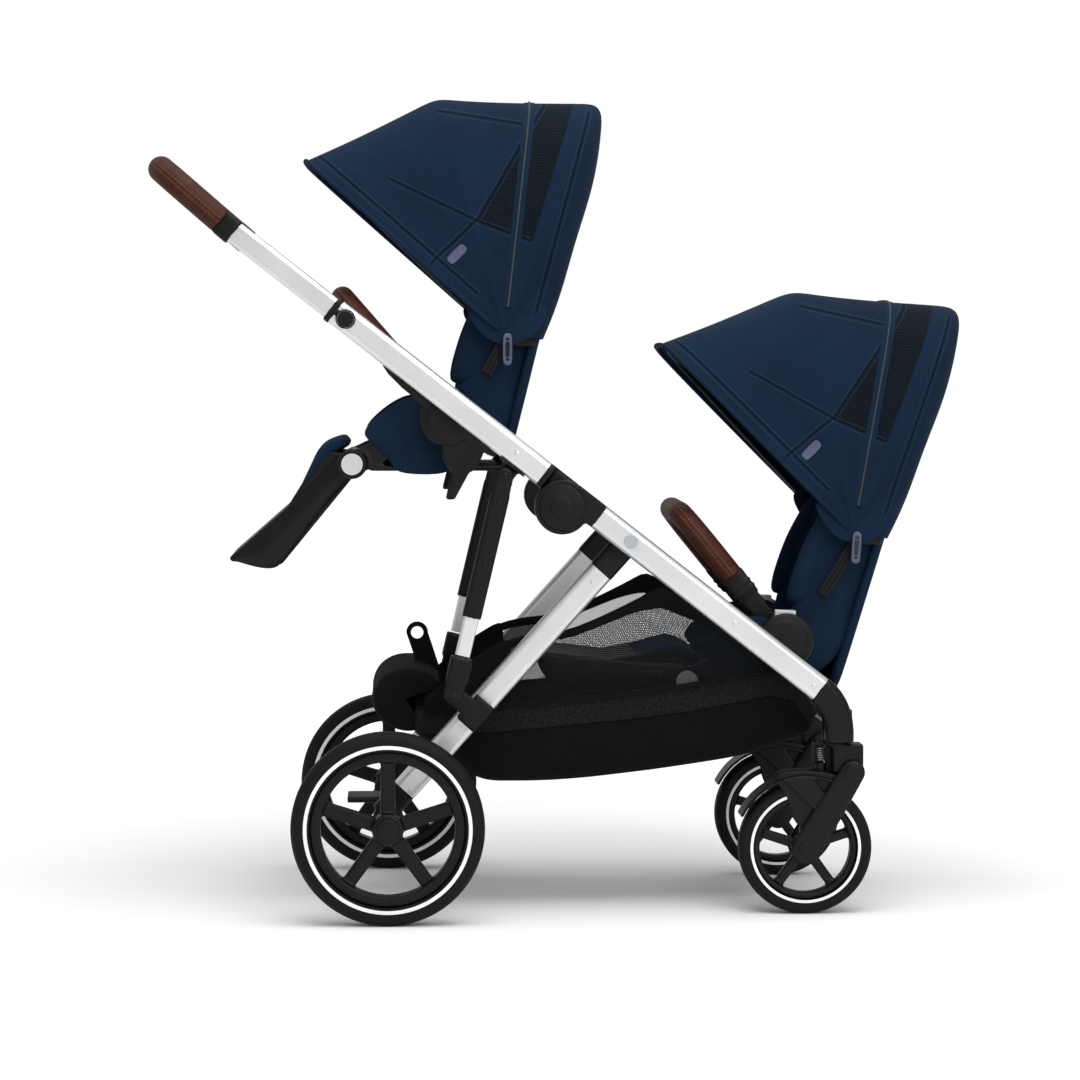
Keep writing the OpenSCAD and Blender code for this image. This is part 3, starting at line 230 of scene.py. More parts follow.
# Reflective ring: white glass bead film bonded into a shallow step of the sidewall
beaded = finish("bead_film", {"Roughness": 0.5, "Base Color": srgb("#f1f1ee")})
place = add(beaded, "TexCoord").outputs["Object"]
beads = add(beaded, "TexVoronoi", {"Vector": place, "Scale": 900})
add(beaded, "Bump", {"Height": beads, "Strength": 0.1, "Distance": 0.0003}, to="Normal")

def round_head(name, spot, radius, tall, rim, corners=32, steps=3):
    """A round head on a face that looks along Y, its rim softly rounded."""
    bpy.ops.object.select_all(action="DESELECT")
    bpy.ops.mesh.primitive_cylinder_add(vertices=corners, radius=radius, depth=tall, location=spot,
        rotation=(math.radians(90), 0, 0))
    piece = bpy.context.object
    piece.name = name
    bpy.ops.object.transform_apply(location=True, rotation=True, scale=True)
    edge = piece.modifiers.new("Rim", "BEVEL")
    edge.width = rim
    edge.segments = steps
    edge.limit_method = "ANGLE"
    bpy.ops.object.modifier_apply(modifier="Rim")
    bpy.ops.object.shade_smooth_by_angle(angle=math.radians(40))
    piece.select_set(False)
    return piece


for wheel, side, ring_out, ring_in, cap in (
    ("rear", "left", 0.1218, 0.1164, 0.0165), ("rear", "right", 0.1218, 0.1164, 0.0165),
    ("front", "left", 0.0815, 0.0772, 0.0135), ("front", "right", 0.0815, 0.0772, 0.0135),
):
    body = f"{wheel}_wheel_{side}"
    tyre = f"{wheel}_tyre_{side}"
    dress(frame["nodes"][tyre], rubber)
    moulded(f"{wheel}_rim_{side}", body, voxel=0.0018, rounds=14, faces=60000)
    low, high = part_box(tyre)
    middle = (low + high) / 2
    for face, y in (("inner", low.y), ("outer", high.y)):
        out = 1 if y > middle.y else -1
        bpy.ops.object.select_all(action="DESELECT")
        bpy.ops.mesh.primitive_circle_add(vertices=160, radius=ring_in, fill_type="NOTHING",
            location=(middle.x, y + out * 0.0002, middle.z), rotation=(math.radians(90), 0, 0))
        ring = bpy.context.object
        ring.name = f"{body}_ring_{face}"
        bpy.ops.object.transform_apply(location=True, rotation=True, scale=True)
        bpy.ops.object.mode_set(mode="EDIT")
        bpy.ops.mesh.select_all(action="SELECT")
        bpy.ops.mesh.extrude_edges_move()
        grow = ring_out / ring_in
        bpy.ops.transform.resize(value=(grow, 1, grow), center_override=(middle.x, y, middle.z))
        bpy.ops.mesh.select_all(action="SELECT")
        bpy.ops.mesh.normals_make_consistent(inside=False)
        bpy.ops.object.mode_set(mode="OBJECT")
        thick = ring.modifiers.new("Film", "SOLIDIFY")
        thick.thickness = 0.0012
        thick.offset = 0
        round_off = ring.modifiers.new("Edge", "BEVEL")
        round_off.width = 0.0004
        round_off.segments = 2
        bpy.ops.object.modifier_apply(modifier="Film")
        bpy.ops.object.modifier_apply(modifier="Edge")
        bpy.ops.object.shade_smooth()
        fit(ring, beaded, "grey_plastic", body)
    # Hub cap on the outer face: a shallow dome snapped over the axle's end
    outer, out = (high.y, 1) if side == "left" else (low.y, -1)
    spot = (middle.x, outer + out * 0.001, middle.z)
    hub_cap = round_head(f"{body}_cap", spot, cap, tall=0.006, rim=0.0022, corners=48, steps=4)
    fit(hub_cap, grained, "black_plastic", body)


# Canopies: each is one hood of navy polyester twill sewn from panels, stretched over bows that fan out from
# a pivot on either side of the seat. A band of open net and a zip cross it behind the middle bow.
hood_rims = [  # where the hood's rim stands from its pivot, forward and up, from the rear hem to the visor
    (0.06, -0.005), (0.077, 0.034), (0.0928, 0.081), (0.1063, 0.1311), (0.122, 0.18), (0.1359, 0.2252),
    (0.145, 0.272), (0.1493, 0.316), (0.149, 0.335), (0.14, 0.347), (0.118, 0.35), (0.07, 0.351),
    (0.02, 0.352), (-0.03, 0.353), (-0.07, 0.354), (-0.096, 0.3545), (-0.114, 0.35),
    (-0.142, 0.337), (-0.185, 0.316), (-0.225, 0.296), (-0.262, 0.278), (-0.2974, 0.2599),
]
hood_bows = (9, 15, 21)
hood_half = 0.1645


def turned(x, z, turn):
    """A place in the side view, turned about its origin."""
    return x * math.cos(turn) + z * math.sin(turn), z * math.cos(turn) - x * math.sin(turn)


def hood_point(along, reach, pivot, turn):
    """A point of the right half: along counts the rims, reach runs from the pivot, 0, to the top, 1."""
    i = min(int(along), len(hood_rims) - 2)
    share = along - i
    x, z = [a + share * (b - a) for a, b in zip(hood_rims[i], hood_rims[i + 1])]
    bay = max([b for b in (0,) + hood_bows[:-1] if b <= along])
    after = min([b for b in hood_bows if b > bay])
    slack = 4 * (along - bay) * (after - along) / (after - bay) ** 2 if along <= after else 0
    half = hood_half - 0.006 * slack * math.sin(math.pi * min(reach, 0.9))
    reach_out = reach * (1 - 0.01 * slack)
    wide = half * (1 - reach ** 6) ** (1 / 4.6)
    x, z = turned(x, z, turn)
    return Vector((pivot[0] + reach_out * x, -wide, pivot[1] + reach_out * z))


# Navy twill: diagonal ribs of a 2/1 weave, drawn 2.2 mm wide where the real ones are under 1 mm, in yarns of
# slightly different blue, with a faint bloom of loose fibre at grazing angles
def navy_twill(name):
    """The navy twill on a piece's own cloth map; returns the material, its colour and its height."""
    cloth = finish(name, {"Roughness": 0.85, "Specular IOR Level": 0.12, "Sheen Weight": 0.04,
        "Sheen Roughness": 0.45, "Sheen Tint": srgb("#4a6f96")})
    place = add(cloth, "UVMap", uv_map="cloth")
    lean = add(cloth, "Mapping", {"Vector": place, "Rotation": (0, 0, math.radians(58))})
    ribs = add(cloth, "TexWave", {"Vector": lean, "Scale": 143, "Distortion": 0.6, "Detail": 1, "Detail Scale": 3})
    yarn = add(cloth, "TexNoise", {"Vector": place, "Scale": 420, "Detail": 2})
    wash = add(cloth, "TexNoise", {"Vector": place, "Scale": 7, "Detail": 3})
    mixed = add(cloth, "Mix", {"Factor": 0.6, "A": yarn, "B": wash})
    tone = add(cloth, "ValToRGB", {"Fac": mixed}, stops=((0.32, "#0b1a2b"), (0.72, "#102840")), to="Base Color")
    height = add(cloth, "Mix", {"Factor": 0.35, "A": ribs.outputs["Fac"], "B": yarn})
    return cloth, tone, height


# Hood cloth: the twill with its felled seams, a stitch every 4 mm on either side of them, and the net band
hood_cloth, colour, height = navy_twill("hood_twill")
side = add(hood_cloth, "UVMap", uv_map="side")
seam_groove_and_shade, stitch_all = None, None
for ax, az, bx, bz in (
    (-0.277, 0.269, -0.04, 0.062), (-0.169, 0.23, -0.042, 0.169), (-0.042, 0.169, -0.108, 0.106),
    (-0.041, 0.168, 0.037, 0.139), (0.126, 0.33, 0.045, 0.03), (-0.098, 0.331, 0.04, 0.309),
    (-0.041, 0.168, 0.071, 0.36),
):
    long = math.hypot(bx - ax, bz - az)
    along_x, along_z = (bx - ax) / long, (bz - az) / long
    from_end = add(hood_cloth, "VectorMath", {0: side, 1: (ax, az, 0)}, operation="SUBTRACT")
    along = add(hood_cloth, "VectorMath", {0: from_end, 1: (along_x, along_z, 0)}, operation="DOT_PRODUCT")
    beside = add(hood_cloth, "VectorMath", {0: from_end, 1: (-along_z, along_x, 0)}, operation="DOT_PRODUCT")
    away = add(hood_cloth, "Math", {0: beside}, operation="ABSOLUTE")
    within = add(hood_cloth, "Math", {0: along, 1: long / 2, 2: long / 2}, operation="COMPARE")
    groove = add(hood_cloth, "MapRange", {"Value": away, "From Min": 0.0007, "From Max": 0.0019, "To Min": 1,
        "To Max": 0})
    seam = add(hood_cloth, "Math", {0: groove, 1: within}, operation="MULTIPLY")
    row = add(hood_cloth, "Math", {0: away, 1: 0.0042, 2: 0.0006}, operation="COMPARE")
    pace = add(hood_cloth, "Math", {0: along, 1: 0.004}, operation="MODULO")
    thread = add(hood_cloth, "Math", {0: pace, 1: 0.0027}, operation="LESS_THAN")
    sewn = add(hood_cloth, "Math", {0: row, 1: thread}, operation="MULTIPLY")
    stitch = add(hood_cloth, "Math", {0: sewn, 1: within}, operation="MULTIPLY")
    if seam_groove_and_shade:
        seam = add(hood_cloth, "Math", {0: seam, 1: seam_groove_and_shade}, operation="MAXIMUM")
        stitch = add(hood_cloth, "Math", {0: stitch, 1: stitch_all}, operation="MAXIMUM")
    seam_groove_and_shade, stitch_all = seam, stitch
# Net band: inside three straight edges, a honeycomb of 4 mm holes, their middles painted darker as the shade
# inside the hood
net = None
for px, pz, nx, nz in (
    (-0.041, 0.168, 0.862, -0.506), (-0.041, 0.168, 0.349, 0.937), (0.01, 0.035, -0.957, 0.29),
):
    from_edge = add(hood_cloth, "VectorMath", {0: side, 1: (px, pz, 0)}, operation="SUBTRACT")
    inward = add(hood_cloth, "VectorMath", {0: from_edge, 1: (nx, nz, 0)}, operation="DOT_PRODUCT")
    inside = add(hood_cloth, "Math", {0: inward, 1: 0}, operation="GREATER_THAN")
    if net:
        inside = add(hood_cloth, "Math", {0: inside, 1: net}, operation="MULTIPLY")
    net = inside
holes = add(hood_cloth, "TexVoronoi", {"Vector": side, "Scale": 250, "Randomness": 0.15})
knots_and_hole_shade = add(hood_cloth, "ValToRGB", {"Fac": holes}, stops=((0.3, "#05080c"), (0.55, "#0f1a26")))
netted = add(hood_cloth, "Mix", {"Factor": net, 6: colour, 7: knots_and_hole_shade}, data_type="RGBA")
sewn = add(hood_cloth, "Mix", {"Factor": stitch_all, 6: netted, 7: srgb("#1c3650")}, data_type="RGBA")
# The seams' near black blue is painted shade in their grooves, laid over the twill's own colour
add(hood_cloth, "Mix", {"Factor": seam_groove_and_shade, 6: sewn, 7: srgb("#050c14")}, data_type="RGBA", to="Base Color")
raised = add(hood_cloth, "Math", {0: height, 1: stitch_all}, operation="ADD")
sunk = add(hood_cloth, "Math", {0: seam_groove_and_shade, 1: -2.5, 2: raised}, operation="MULTIPLY_ADD")
open_net = add(hood_cloth, "Math", {0: net, 1: holes}, operation="MULTIPLY")
level = add(hood_cloth, "Math", {0: open_net, 1: 2.5, 2: sunk}, operation="MULTIPLY_ADD")
add(hood_cloth, "Bump", {"Height": level, "Strength": 0.55, "Distance": 0.0008}, to="Normal")

# Binding, zip tape and pivot flap: the same blue twill without seams of its own
plain_twill, _, height = navy_twill("plain_twill")
add(plain_twill, "Bump", {"Height": height, "Strength": 0.45, "Distance": 0.0007}, to="Normal")

# Zip: a woven tape with a row of moulded teeth 2.5 mm apart, all dyed dark blue
zip_teeth_painted_shade = finish("zip_teeth_painted_shade", {"Roughness": 0.5})
place = add(zip_teeth_painted_shade, "UVMap", uv_map="cloth")
teeth = add(zip_teeth_painted_shade, "TexWave", {"Vector": place, "Scale": 126}, bands_direction="Y")
# The ramp paints each tooth lighter on its crest and darker in the gaps: painted highlight and painted shade in
# step with the bump
add(zip_teeth_painted_shade, "ValToRGB", {"Fac": teeth.outputs["Fac"]}, stops=((0, "#070d14"), (1, "#15222f")), to="Base Color")
add(zip_teeth_painted_shade, "Bump", {"Height": teeth.outputs["Fac"], "Strength": 0.8, "Distance": 0.0008}, to="Normal")

# Tags and zip pulls: soft lavender grey rubber, moulded with a raised border around a bare middle
tag_rubber = finish("tag_rubber", {"Roughness": 0.6, "Base Color": srgb("#454966")})
place = add(tag_rubber, "TexCoord").outputs["Object"]
dust = add(tag_rubber, "TexNoise", {"Vector": place, "Scale": 900})
add(tag_rubber, "Bump", {"Height": dust, "Strength": 0.1, "Distance": 0.0003}, to="Normal")


def sheet_mesh(name, rows, closed=False):
    """A grid of rows of points as a mesh piece, with a map of its own lengths in metres called cloth."""
    across = len(rows[0])
    points = [p for row in rows for p in row]
    steps = across if closed else across - 1
    faces = [(i * across + j, i * across + (j + 1) % across, (i + 1) * across + (j + 1) % across,
        (i + 1) * across + j)
        for i in range(len(rows) - 1) for j in range(steps)]
    if closed:
        faces += [list(range(across)), list(range(len(points) - across, len(points)))]
    mesh = bpy.data.meshes.new(name)
    mesh.from_pydata(points, [], faces)
    piece = bpy.data.objects.new(name, mesh)
    bpy.context.scene.collection.objects.link(piece)
    middle = rows[len(rows) // 2]
    wide = [0.0]
    for a, b in zip(middle, list(middle[1:]) + [middle[0]]):
        wide.append(wide[-1] + (b - a).length)
    long = [0.0]
    for a, b in zip(rows, rows[1:]):
        long.append(long[-1] + max((q - p).length for p, q in zip(a, b)))
    cloth = mesh.uv_layers.new(name="cloth")
    for face in list(mesh.polygons)[:(len(rows) - 1) * steps]:
        i, j = divmod(face.index, steps)
        for loop, (r, c) in zip(face.loop_indices, ((i, j), (i, j + 1), (i + 1, j + 1), (i + 1, j))):
            cloth.data[loop].uv = (wide[c], long[r])
    return piece


def finish_mesh(piece, subdivide=0, thick=0.0, offset=0.0):
    """Closes off a sheet: smooths it by subdivision, points its faces outwards and gives it its thickness."""
    pick(piece)
    bpy.ops.object.mode_set(mode="EDIT")
    bpy.ops.mesh.select_all(action="SELECT")
    bpy.ops.mesh.normals_make_consistent(inside=False)
    bpy.ops.object.mode_set(mode="OBJECT")
    if subdivide:
        smooth = piece.modifiers.new("Smooth", "SUBSURF")
        smooth.levels = smooth.render_levels = subdivide
        bpy.ops.object.modifier_apply(modifier="Smooth")
    area = sum(face.area for face in piece.data.polygons)
    if thick:
        body = piece.modifiers.new("Thickness", "SOLIDIFY")
        body.thickness = thick
        body.offset = offset
        bpy.ops.object.modifier_apply(modifier="Thickness")
    bpy.ops.object.shade_smooth_by_angle(angle=math.radians(50))
    piece.select_set(False)
    return area


def shaped(name, rows, levels, material, slot, body):
    """A closed skin through rings of points, subdivided, then fixed to its body."""
    piece = sheet_mesh(name, rows, closed=True)
    finish_mesh(piece, subdivide=levels)
    fit(piece, material, slot, body)
    return piece


def heading(line, k):
    """The way that a line of points runs at its point k."""
    return (line[min(k + 1, len(line) - 1)] - line[max(k - 1, 0)]).normalized()


def circle(count, first=0):
    """The cosine and sine of even steps around a circle, from a first angle in degrees."""
    angles = [math.radians(first + 360 / count * k) for k in range(count)]
    return [(math.cos(a), math.sin(a)) for a in angles]


def both_halves(half):
    """A row of points from the right side to the middle, carried on to the left side as its mirror image."""
    return half + [Vector((p.x, -p.y, p.z)) for p in reversed(half[:-1])]


both_hands = ((-1, "right"), (1, "left"))
# Trim in section and outline: the zip's tape and teeth, then flap, pull and tag with the levels of their domes
tape_profile = ((-0.0085, 0.0002), (-0.008, 0.0012), (-0.002, 0.0014), (0.002, 0.0014), (0.008, 0.0012),
    (0.0085, 0.0002))
teeth_profile = ((-0.0022, 0.001), (-0.0018, 0.0026), (0, 0.0032), (0.0018, 0.0026), (0.0022, 0.001))
flap_edge = ((-0.058, 0.036), (-0.042, 0.01), (-0.022, -0.009), (0.002, -0.015), (0.026, -0.011), (0.046, 0.002),
    (0.066, 0.026), (0.062, 0.05), (0.036, 0.066), (0.0, 0.072), (-0.034, 0.064), (-0.054, 0.05))
flap_levels = ((1, 0.16), (1, 0.164), (0.97, 0.1648), (0.7, 0.1652), (0.3, 0.1654))
pull_edge = [(0.007 * math.cos(math.radians(a)), end + 0.007 * math.sin(math.radians(a)))
    for end, first in ((0.0175, 0), (-0.0175, 180)) for a in range(first, first + 181, 30)]
pull_levels = ((1, 0.1668), (1, 0.1702), (0.9, 0.1712), (0.74, 0.1712), (0.68, 0.1704), (0.3, 0.1703))
tag_edge = ((0.0145, 0.0075), (0.017, 0.005), (0.017, -0.005), (0.0145, -0.0075), (-0.0145, -0.0075),
    (-0.017, -0.005), (-0.017, 0.005), (-0.0145, 0.0075))
hood_reaches = [0.02, 0.12, 0.24, 0.36, 0.48, 0.58, 0.67, 0.75, 0.82, 0.875, 0.92, 0.95, 0.972, 0.987, 0.996, 1.0]
for seat, pivot, turn in (("upper", (-0.082, 0.8494), 0.0), ("lower", (0.43336, 0.557), math.radians(3.7))):
    rows = [both_halves([hood_point(i, reach, pivot, turn) for reach in hood_reaches])
        for i in range(len(hood_rims))]
    hood = sheet_mesh(seat + "_hood", rows)
    area = finish_mesh(hood, subdivide=2)
    side_map = hood.data.uv_layers.new(name="side")
    for loop in hood.data.loops:
        x, z = [a - b for a, b in zip(hood.data.vertices[loop.vertex_index].co.xz, pivot)]
        side_map.data[loop.index].uv = turned(x, z, -turn)
    finish_mesh(hood, thick=0.0022, offset=-1)
    dress(hood, hood_cloth)
    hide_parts(seat + "_canopy_rear", seat + "_canopy_front")
    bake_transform(hood)

    # Visor hem: the twill rolled over the front bow and stitched down, a soft bead along the free edge
    arch = both_halves([hood_point(20.93, reach, pivot, turn) for reach in hood_reaches])
    around = [(0.004 * c, 0.004 * n) for c, n in circle(12)]
    forward = (hood_point(21, 0.9, pivot, turn) - hood_point(20, 0.9, pivot, turn)) * Vector((1, 0, 1))
    forward.normalize()
    rows = []
    for k, p in enumerate(arch):
        run = heading(arch, k)
        up = run.cross(forward).normalized()
        rows.append([p + forward * a + up * b for a, b in around])
    hem = shaped(seat + "_hood_hem", rows, 1, plain_twill, "navy_fabric", seat + "_canopy")

    # Zip over the hood behind the net band: the tape stands 1.4 mm off the cloth and the teeth 3 mm
    along = 11.6
    arch = both_halves([hood_point(along, reach, pivot, turn) for reach in hood_reaches[1:]])
    ahead = hood_point(along + 0.2, 0.9, pivot, turn) - hood_point(along - 0.2, 0.9, pivot, turn)
    ahead = (ahead * Vector((1, 0, 1))).normalized()
    for part, profile, material in (
        ("tape", tape_profile, plain_twill), ("teeth", teeth_profile, zip_teeth_painted_shade),
    ):
        rows = []
        for k, p in enumerate(arch):
            run = heading(arch, k)
            out = run.cross(ahead).normalized()
            if out.dot(p - Vector((pivot[0], 0, pivot[1]))) < 0:
                out = -out
            rows.append([p + ahead * a + out * b for a, b in profile])
        strip = sheet_mesh(f"{seat}_hood_zip_{part}", rows)
        finish_mesh(strip, subdivide=2)
        dress(strip, material)
        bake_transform(strip)

    # Pivot flaps cover the bow's ends. A rubber tag is sewn to each side panel, and a rubber pull hangs from
    # the zip.
    tag_spot = hood_point(18, 0.382, pivot, turn)
    tag_levels = [(share, out - tag_spot.y) for share, out in (
        (1, -0.004), (1, 0.0016), (0.93, 0.0021), (0.82, 0.0021), (0.78, 0.0014), (0.3, 0.0014))]
    for side, hand in both_hands:
        for part, heart, edge, lean, levels, material, slot in (
            ("flap", (pivot[0] + 0.004, pivot[1] + 0.026), flap_edge, turn, flap_levels, plain_twill,
            "navy_fabric"),
            ("pull", (pivot[0] + 0.004, pivot[1] - 0.02), pull_edge, turn, pull_levels, tag_rubber,
            "grey_plastic"),
            ("tag", tag_spot.xz, tag_edge, math.radians(-45), tag_levels, tag_rubber, "grey_plastic"),
        ):
            middle = (0.004, 0.026) if part == "flap" else (0, 0)
            rows = []
            for share, out in levels:
                ring = []
                for x, z in edge:
                    tuck = 0.16 * max(0.0, share * (z - 0.026) + 0.024) if part == "flap" else 0
                    x, z = turned(share * (x - middle[0]), share * (z - middle[1]), lean)
                    ring.append(Vector((heart[0] + x, side * (out - tuck), heart[1] + z)))
                rows.append(ring)
            trim = sheet_mesh(f"{seat}_hood_{part}_{hand}", rows, closed=True)
            finish_mesh(trim, subdivide=2 if part == "flap" else 1)
            dress(trim, material)
            if part == "tag":
                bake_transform(trim)
            else:
                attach(trim, seat + "_seat")
        # The pull's three finger hollows: two round, and a long one between them, each a thin dark disc of painted
        # shade
        for part, heart, long in (("high", 0.016, 0.0002), ("mid", 0, 0.0085), ("low", -0.016, 0.0002)):
            ring = [turned(0.0032 * c, heart + 0.0032 * n + math.copysign(long, n), turn) for c, n in circle(12)]
            rows = [[Vector((pivot[0] + 0.004 + x, side * y, pivot[1] - 0.02 + z)) for x, z in ring]
                for y in (0.1695, 0.1708)]
            shaped(f"{seat}_hood_pull_{part}_{hand}", rows, 0, zip_teeth_painted_shade, "black_plastic", seat + "_seat")
    dress(frame["nodes"][seat + "_canopy_bow"], grained)


# Handle grip and bumper grips: aluminium bows sleeved in brown coated leather, wrapped lengthwise and closed
# along the inside with a lock stitch on either side of the seam. They end in a turned edge at their collars.
hide = finish("brown_leather", {"Roughness": 0.52, "Specular IOR Level": 0.16})
place = add(hide, "UVMap", uv_map="cloth")
grain = add(hide, "TexVoronoi", {"Vector": place, "Scale": 330, "Randomness": 0.9}, feature="DISTANCE_TO_EDGE")
creases = add(hide, "TexNoise", {"Vector": place, "Scale": 60, "Detail": 4})
tone = add(hide, "ValToRGB", {"Fac": creases}, stops=((0.3, "#33180f"), (0.72, "#472518")))
# The seam runs at the middle of the wrap's map, with stitches 5 mm long and 1.6 mm apart
across = add(hide, "SeparateXYZ", {"Vector": place})
from_seam = add(hide, "Math", {0: across.outputs["X"]}, operation="ABSOLUTE")
groove = add(hide, "MapRange", {"Value": from_seam, "From Min": 0.0006, "From Max": 0.0022, "To Min": 1,
    "To Max": 0})
beside = add(hide, "Math", {0: from_seam, 1: 0.0036, 2: 0.0007}, operation="COMPARE")
pace = add(hide, "Math", {0: across.outputs["Y"], 1: 0.0066}, operation="MODULO")
thread = add(hide, "Math", {0: pace, 1: 0.005}, operation="LESS_THAN")
stitch = add(hide, "Math", {0: beside, 1: thread}, operation="MULTIPLY")
add(hide, "Mix", {"Factor": stitch, 6: tone, 7: srgb("#643c2e")}, data_type="RGBA", to="Base Color")
pebbles = add(hide, "Math", {0: grain, 1: 1.4}, operation="MULTIPLY")
ridge = add(hide, "Math", {0: stitch, 1: 0.8, 2: pebbles}, operation="MULTIPLY_ADD")
level = add(hide, "Math", {0: groove, 1: -1.5, 2: ridge}, operation="MULTIPLY_ADD")
add(hide, "Bump", {"Height": level, "Strength": 0.4, "Distance": 0.0006}, to="Normal")


def squared(value, power):
    """A sine or cosine raised to a power with its sign kept, which squares a circle off."""
    return math.copysign(abs(value) ** power, value)


sleeve_steps = 20


def wrapped_bow(name, root, lean, radius, begin, reach, bend, half):
    """A leather sleeve on a bow: two legs rise from root at an angle and round corners join a crossbar."""
    up = Vector((math.cos(lean), 0, math.sin(lean)))
    path = [(begin, half), (begin + 0.0001, half), (begin + 0.0015, half), (begin + 0.005, half)]
    path += [(begin + share * (reach - bend - begin), half) for share in (0.35, 0.7)]
    path += [(reach - bend + bend * math.sin(math.radians(a)), half - bend + bend * math.cos(math.radians(a)))
        for a in range(0, 91, 9)]
    path += [(reach, (half - bend) * share) for share in (0.75, 0.5, 0.25)]
    path += [(reach, 0)]
    path += [(x, -y) for x, y in reversed(path[:-1])]
    points = [root + up * x + Vector((0, y, 0)) for x, y in path]
    normal = up.cross(Vector((0, 1, 0)))
    rows = []
    for k, p in enumerate(points):
        run = heading(points, k)
        inward = normal.cross(run).normalized()
        from_end = min(k, len(points) - 1 - k)
        swell = (0.78, 0.94, 0.985)[from_end] if from_end < 3 else 1.0
        rows.append([p + radius * swell * (inward * c + normal * n) for c, n in circle(sleeve_steps)])
    sleeve = sheet_mesh(name, rows, closed=True)
    wrap = sleeve.data.uv_layers["cloth"]
    for face in sleeve.data.polygons:
        if face.index % sleeve_steps >= sleeve_steps / 2:
            for loop in face.loop_indices:
                wrap.data[loop].uv.x -= 2 * math.pi * radius
    finish_mesh(sleeve, subdivide=1)
    dress(sleeve, hide)
    return sleeve


grip = wrapped_bow("handle_sleeve", Vector((-0.4845, 0, 1.0061)), math.radians(180 - 41), radius=0.0195,
    begin=0.0125, reach=0.131, bend=0.062, half=0.226)
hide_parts("handle_grip")
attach(grip, "handle")
bumper_half = 0.1405
seat_hubs = {"upper": Vector((-0.1666, 0, 0.7286)), "lower": Vector((0.3301, 0, 0.4022))}
for seat, lean in (("upper", 131), ("lower", 129)):
    grip = wrapped_bow(seat + "_bumper_sleeve", seat_hubs[seat], math.radians(lean), radius=0.0175,
        begin=0.1185, reach=0.235, bend=0.058, half=bumper_half)
    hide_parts(seat + "_bumper_grip")
    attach(grip, seat + "_bumper")
    # Latch collars: black nylon sockets with two grip ridges, where the bow plugs on to its arms
    rise = Vector((math.cos(math.radians(lean)), 0, math.sin(math.radians(lean))))
    fore = rise.cross(Vector((0, 1, 0)))
    for side, hand in both_hands:
        rows = []
        for along, size in ((0.076, 0.86), (0.078, 0.95), (0.086, 0.97), (0.087, 1.03), (0.091, 1.03),
            (0.092, 0.97), (0.096, 0.97), (0.097, 1.03), (0.101, 1.03), (0.102, 0.97), (0.112, 1.0), (0.1195, 1.0),
            (0.1205, 0.94)):
            rows.append([seat_hubs[seat] + rise * along + fore * 0.0182 * size * squared(n, 0.6)
                + Vector((0, side * bumper_half + 0.0068 * size * squared(c, 0.5), 0)) for c, n in circle(24)])
        shaped(f"{seat}_bumper_collar_{hand}", rows, 0, grained, "black_plastic", seat + "_bumper")


# Buttons and releases: small snap fitted mouldings with dished or softly rounded faces. The leg rest buttons
# and the seat releases are light grey, so that a parent finds them, and the height buttons are black.
grey_nylon = finish("grey_nylon", {"Roughness": 0.45, "Base Color": srgb("#c4c5c6")})
place = add(grey_nylon, "TexCoord").outputs["Object"]
grit = add(grey_nylon, "TexVoronoi", {"Vector": place, "Scale": 620})
add(grey_nylon, "Bump", {"Height": grit, "Strength": 0.1, "Distance": 0.0004}, to="Normal")
for source, material, slot in (
    ("height_button_left", grained, "black_plastic"), ("height_button_right", grained, "black_plastic"),
    ("upper_leg_button", grey_nylon, "grey_plastic"), ("lower_leg_button", grey_nylon, "grey_plastic"),
    ("upper_release", grey_nylon, "grey_plastic"), ("lower_release", grey_nylon, "grey_plastic"),
):
    button = moulded(source, source, voxel=0.0008, rounds=10, faces=12000)
    dress(button, material)


# Strut rods: aluminium box tubes punched with three columns of small round holes, in which the lock that
# holds the frame up takes hold. The springs beside the casters are coiled from bright steel wire.
punched = finish("punched_aluminium", {"Metallic": 0.85, "Roughness": 0.34})
place = add(punched, "TexCoord").outputs["Object"]
strut_turn = math.radians(-103.26)
lean = add(punched, "Mapping", {"Vector": place, "Rotation": (0, strut_turn, 0), "Location": (0.0012, 0, 0.0005)})
apart = add(punched, "VectorMath", {0: lean, 1: (0.0052, 1, 0.0052)}, operation="MODULO")
middle = add(punched, "VectorMath", {0: apart, 1: (0.0026, 0, 0.0026)}, operation="SUBTRACT")
flat = add(punched, "VectorMath", {0: middle, 1: (1, 0, 1)}, operation="MULTIPLY")
wide = add(punched, "VectorMath", {0: flat}, operation="LENGTH")
hole = add(punched, "MapRange", {"Value": wide, "From Min": 0.0009, "From Max": 0.0013, "To Min": 1, "To Max": 0})
# The holes are painted dark grey: painted shade inside the hollow tube behind them
add(punched, "Mix", {"Factor": hole, 6: srgb("#e4e4e4"), 7: srgb("#3b3c3d")}, data_type="RGBA", to="Base Color")
add(punched, "Bump", {"Height": hole, "Strength": 0.6, "Distance": 0.0006}, invert=True, to="Normal")
dress(frame["nodes"]["strut_rods"], punched)
for spring in ("spring_left", "spring_right"):
    dress(frame["nodes"][spring], plated)


# Seat liners: a padded cushion sewn from two layers of navy twill round a foam pad, quilted across in channels
# and turned up at the sides into wings. It lies loose in the seat shell and is held by the harness slots.
def box_map(piece):
    """Maps a piece in metres from the side that each face looks to, so that cloth has one thread size."""
    cloth = piece.data.uv_layers.new(name="cloth")
    for face in piece.data.polygons:
        look = [abs(a) for a in face.normal]
        u, v = ((1, 2), (0, 2), (0, 1))[look.index(max(look))]
        for loop in face.loop_indices:
            co = piece.data.vertices[piece.data.loops[loop].vertex_index].co
            cloth.data[loop].uv = (co[u], co[v])


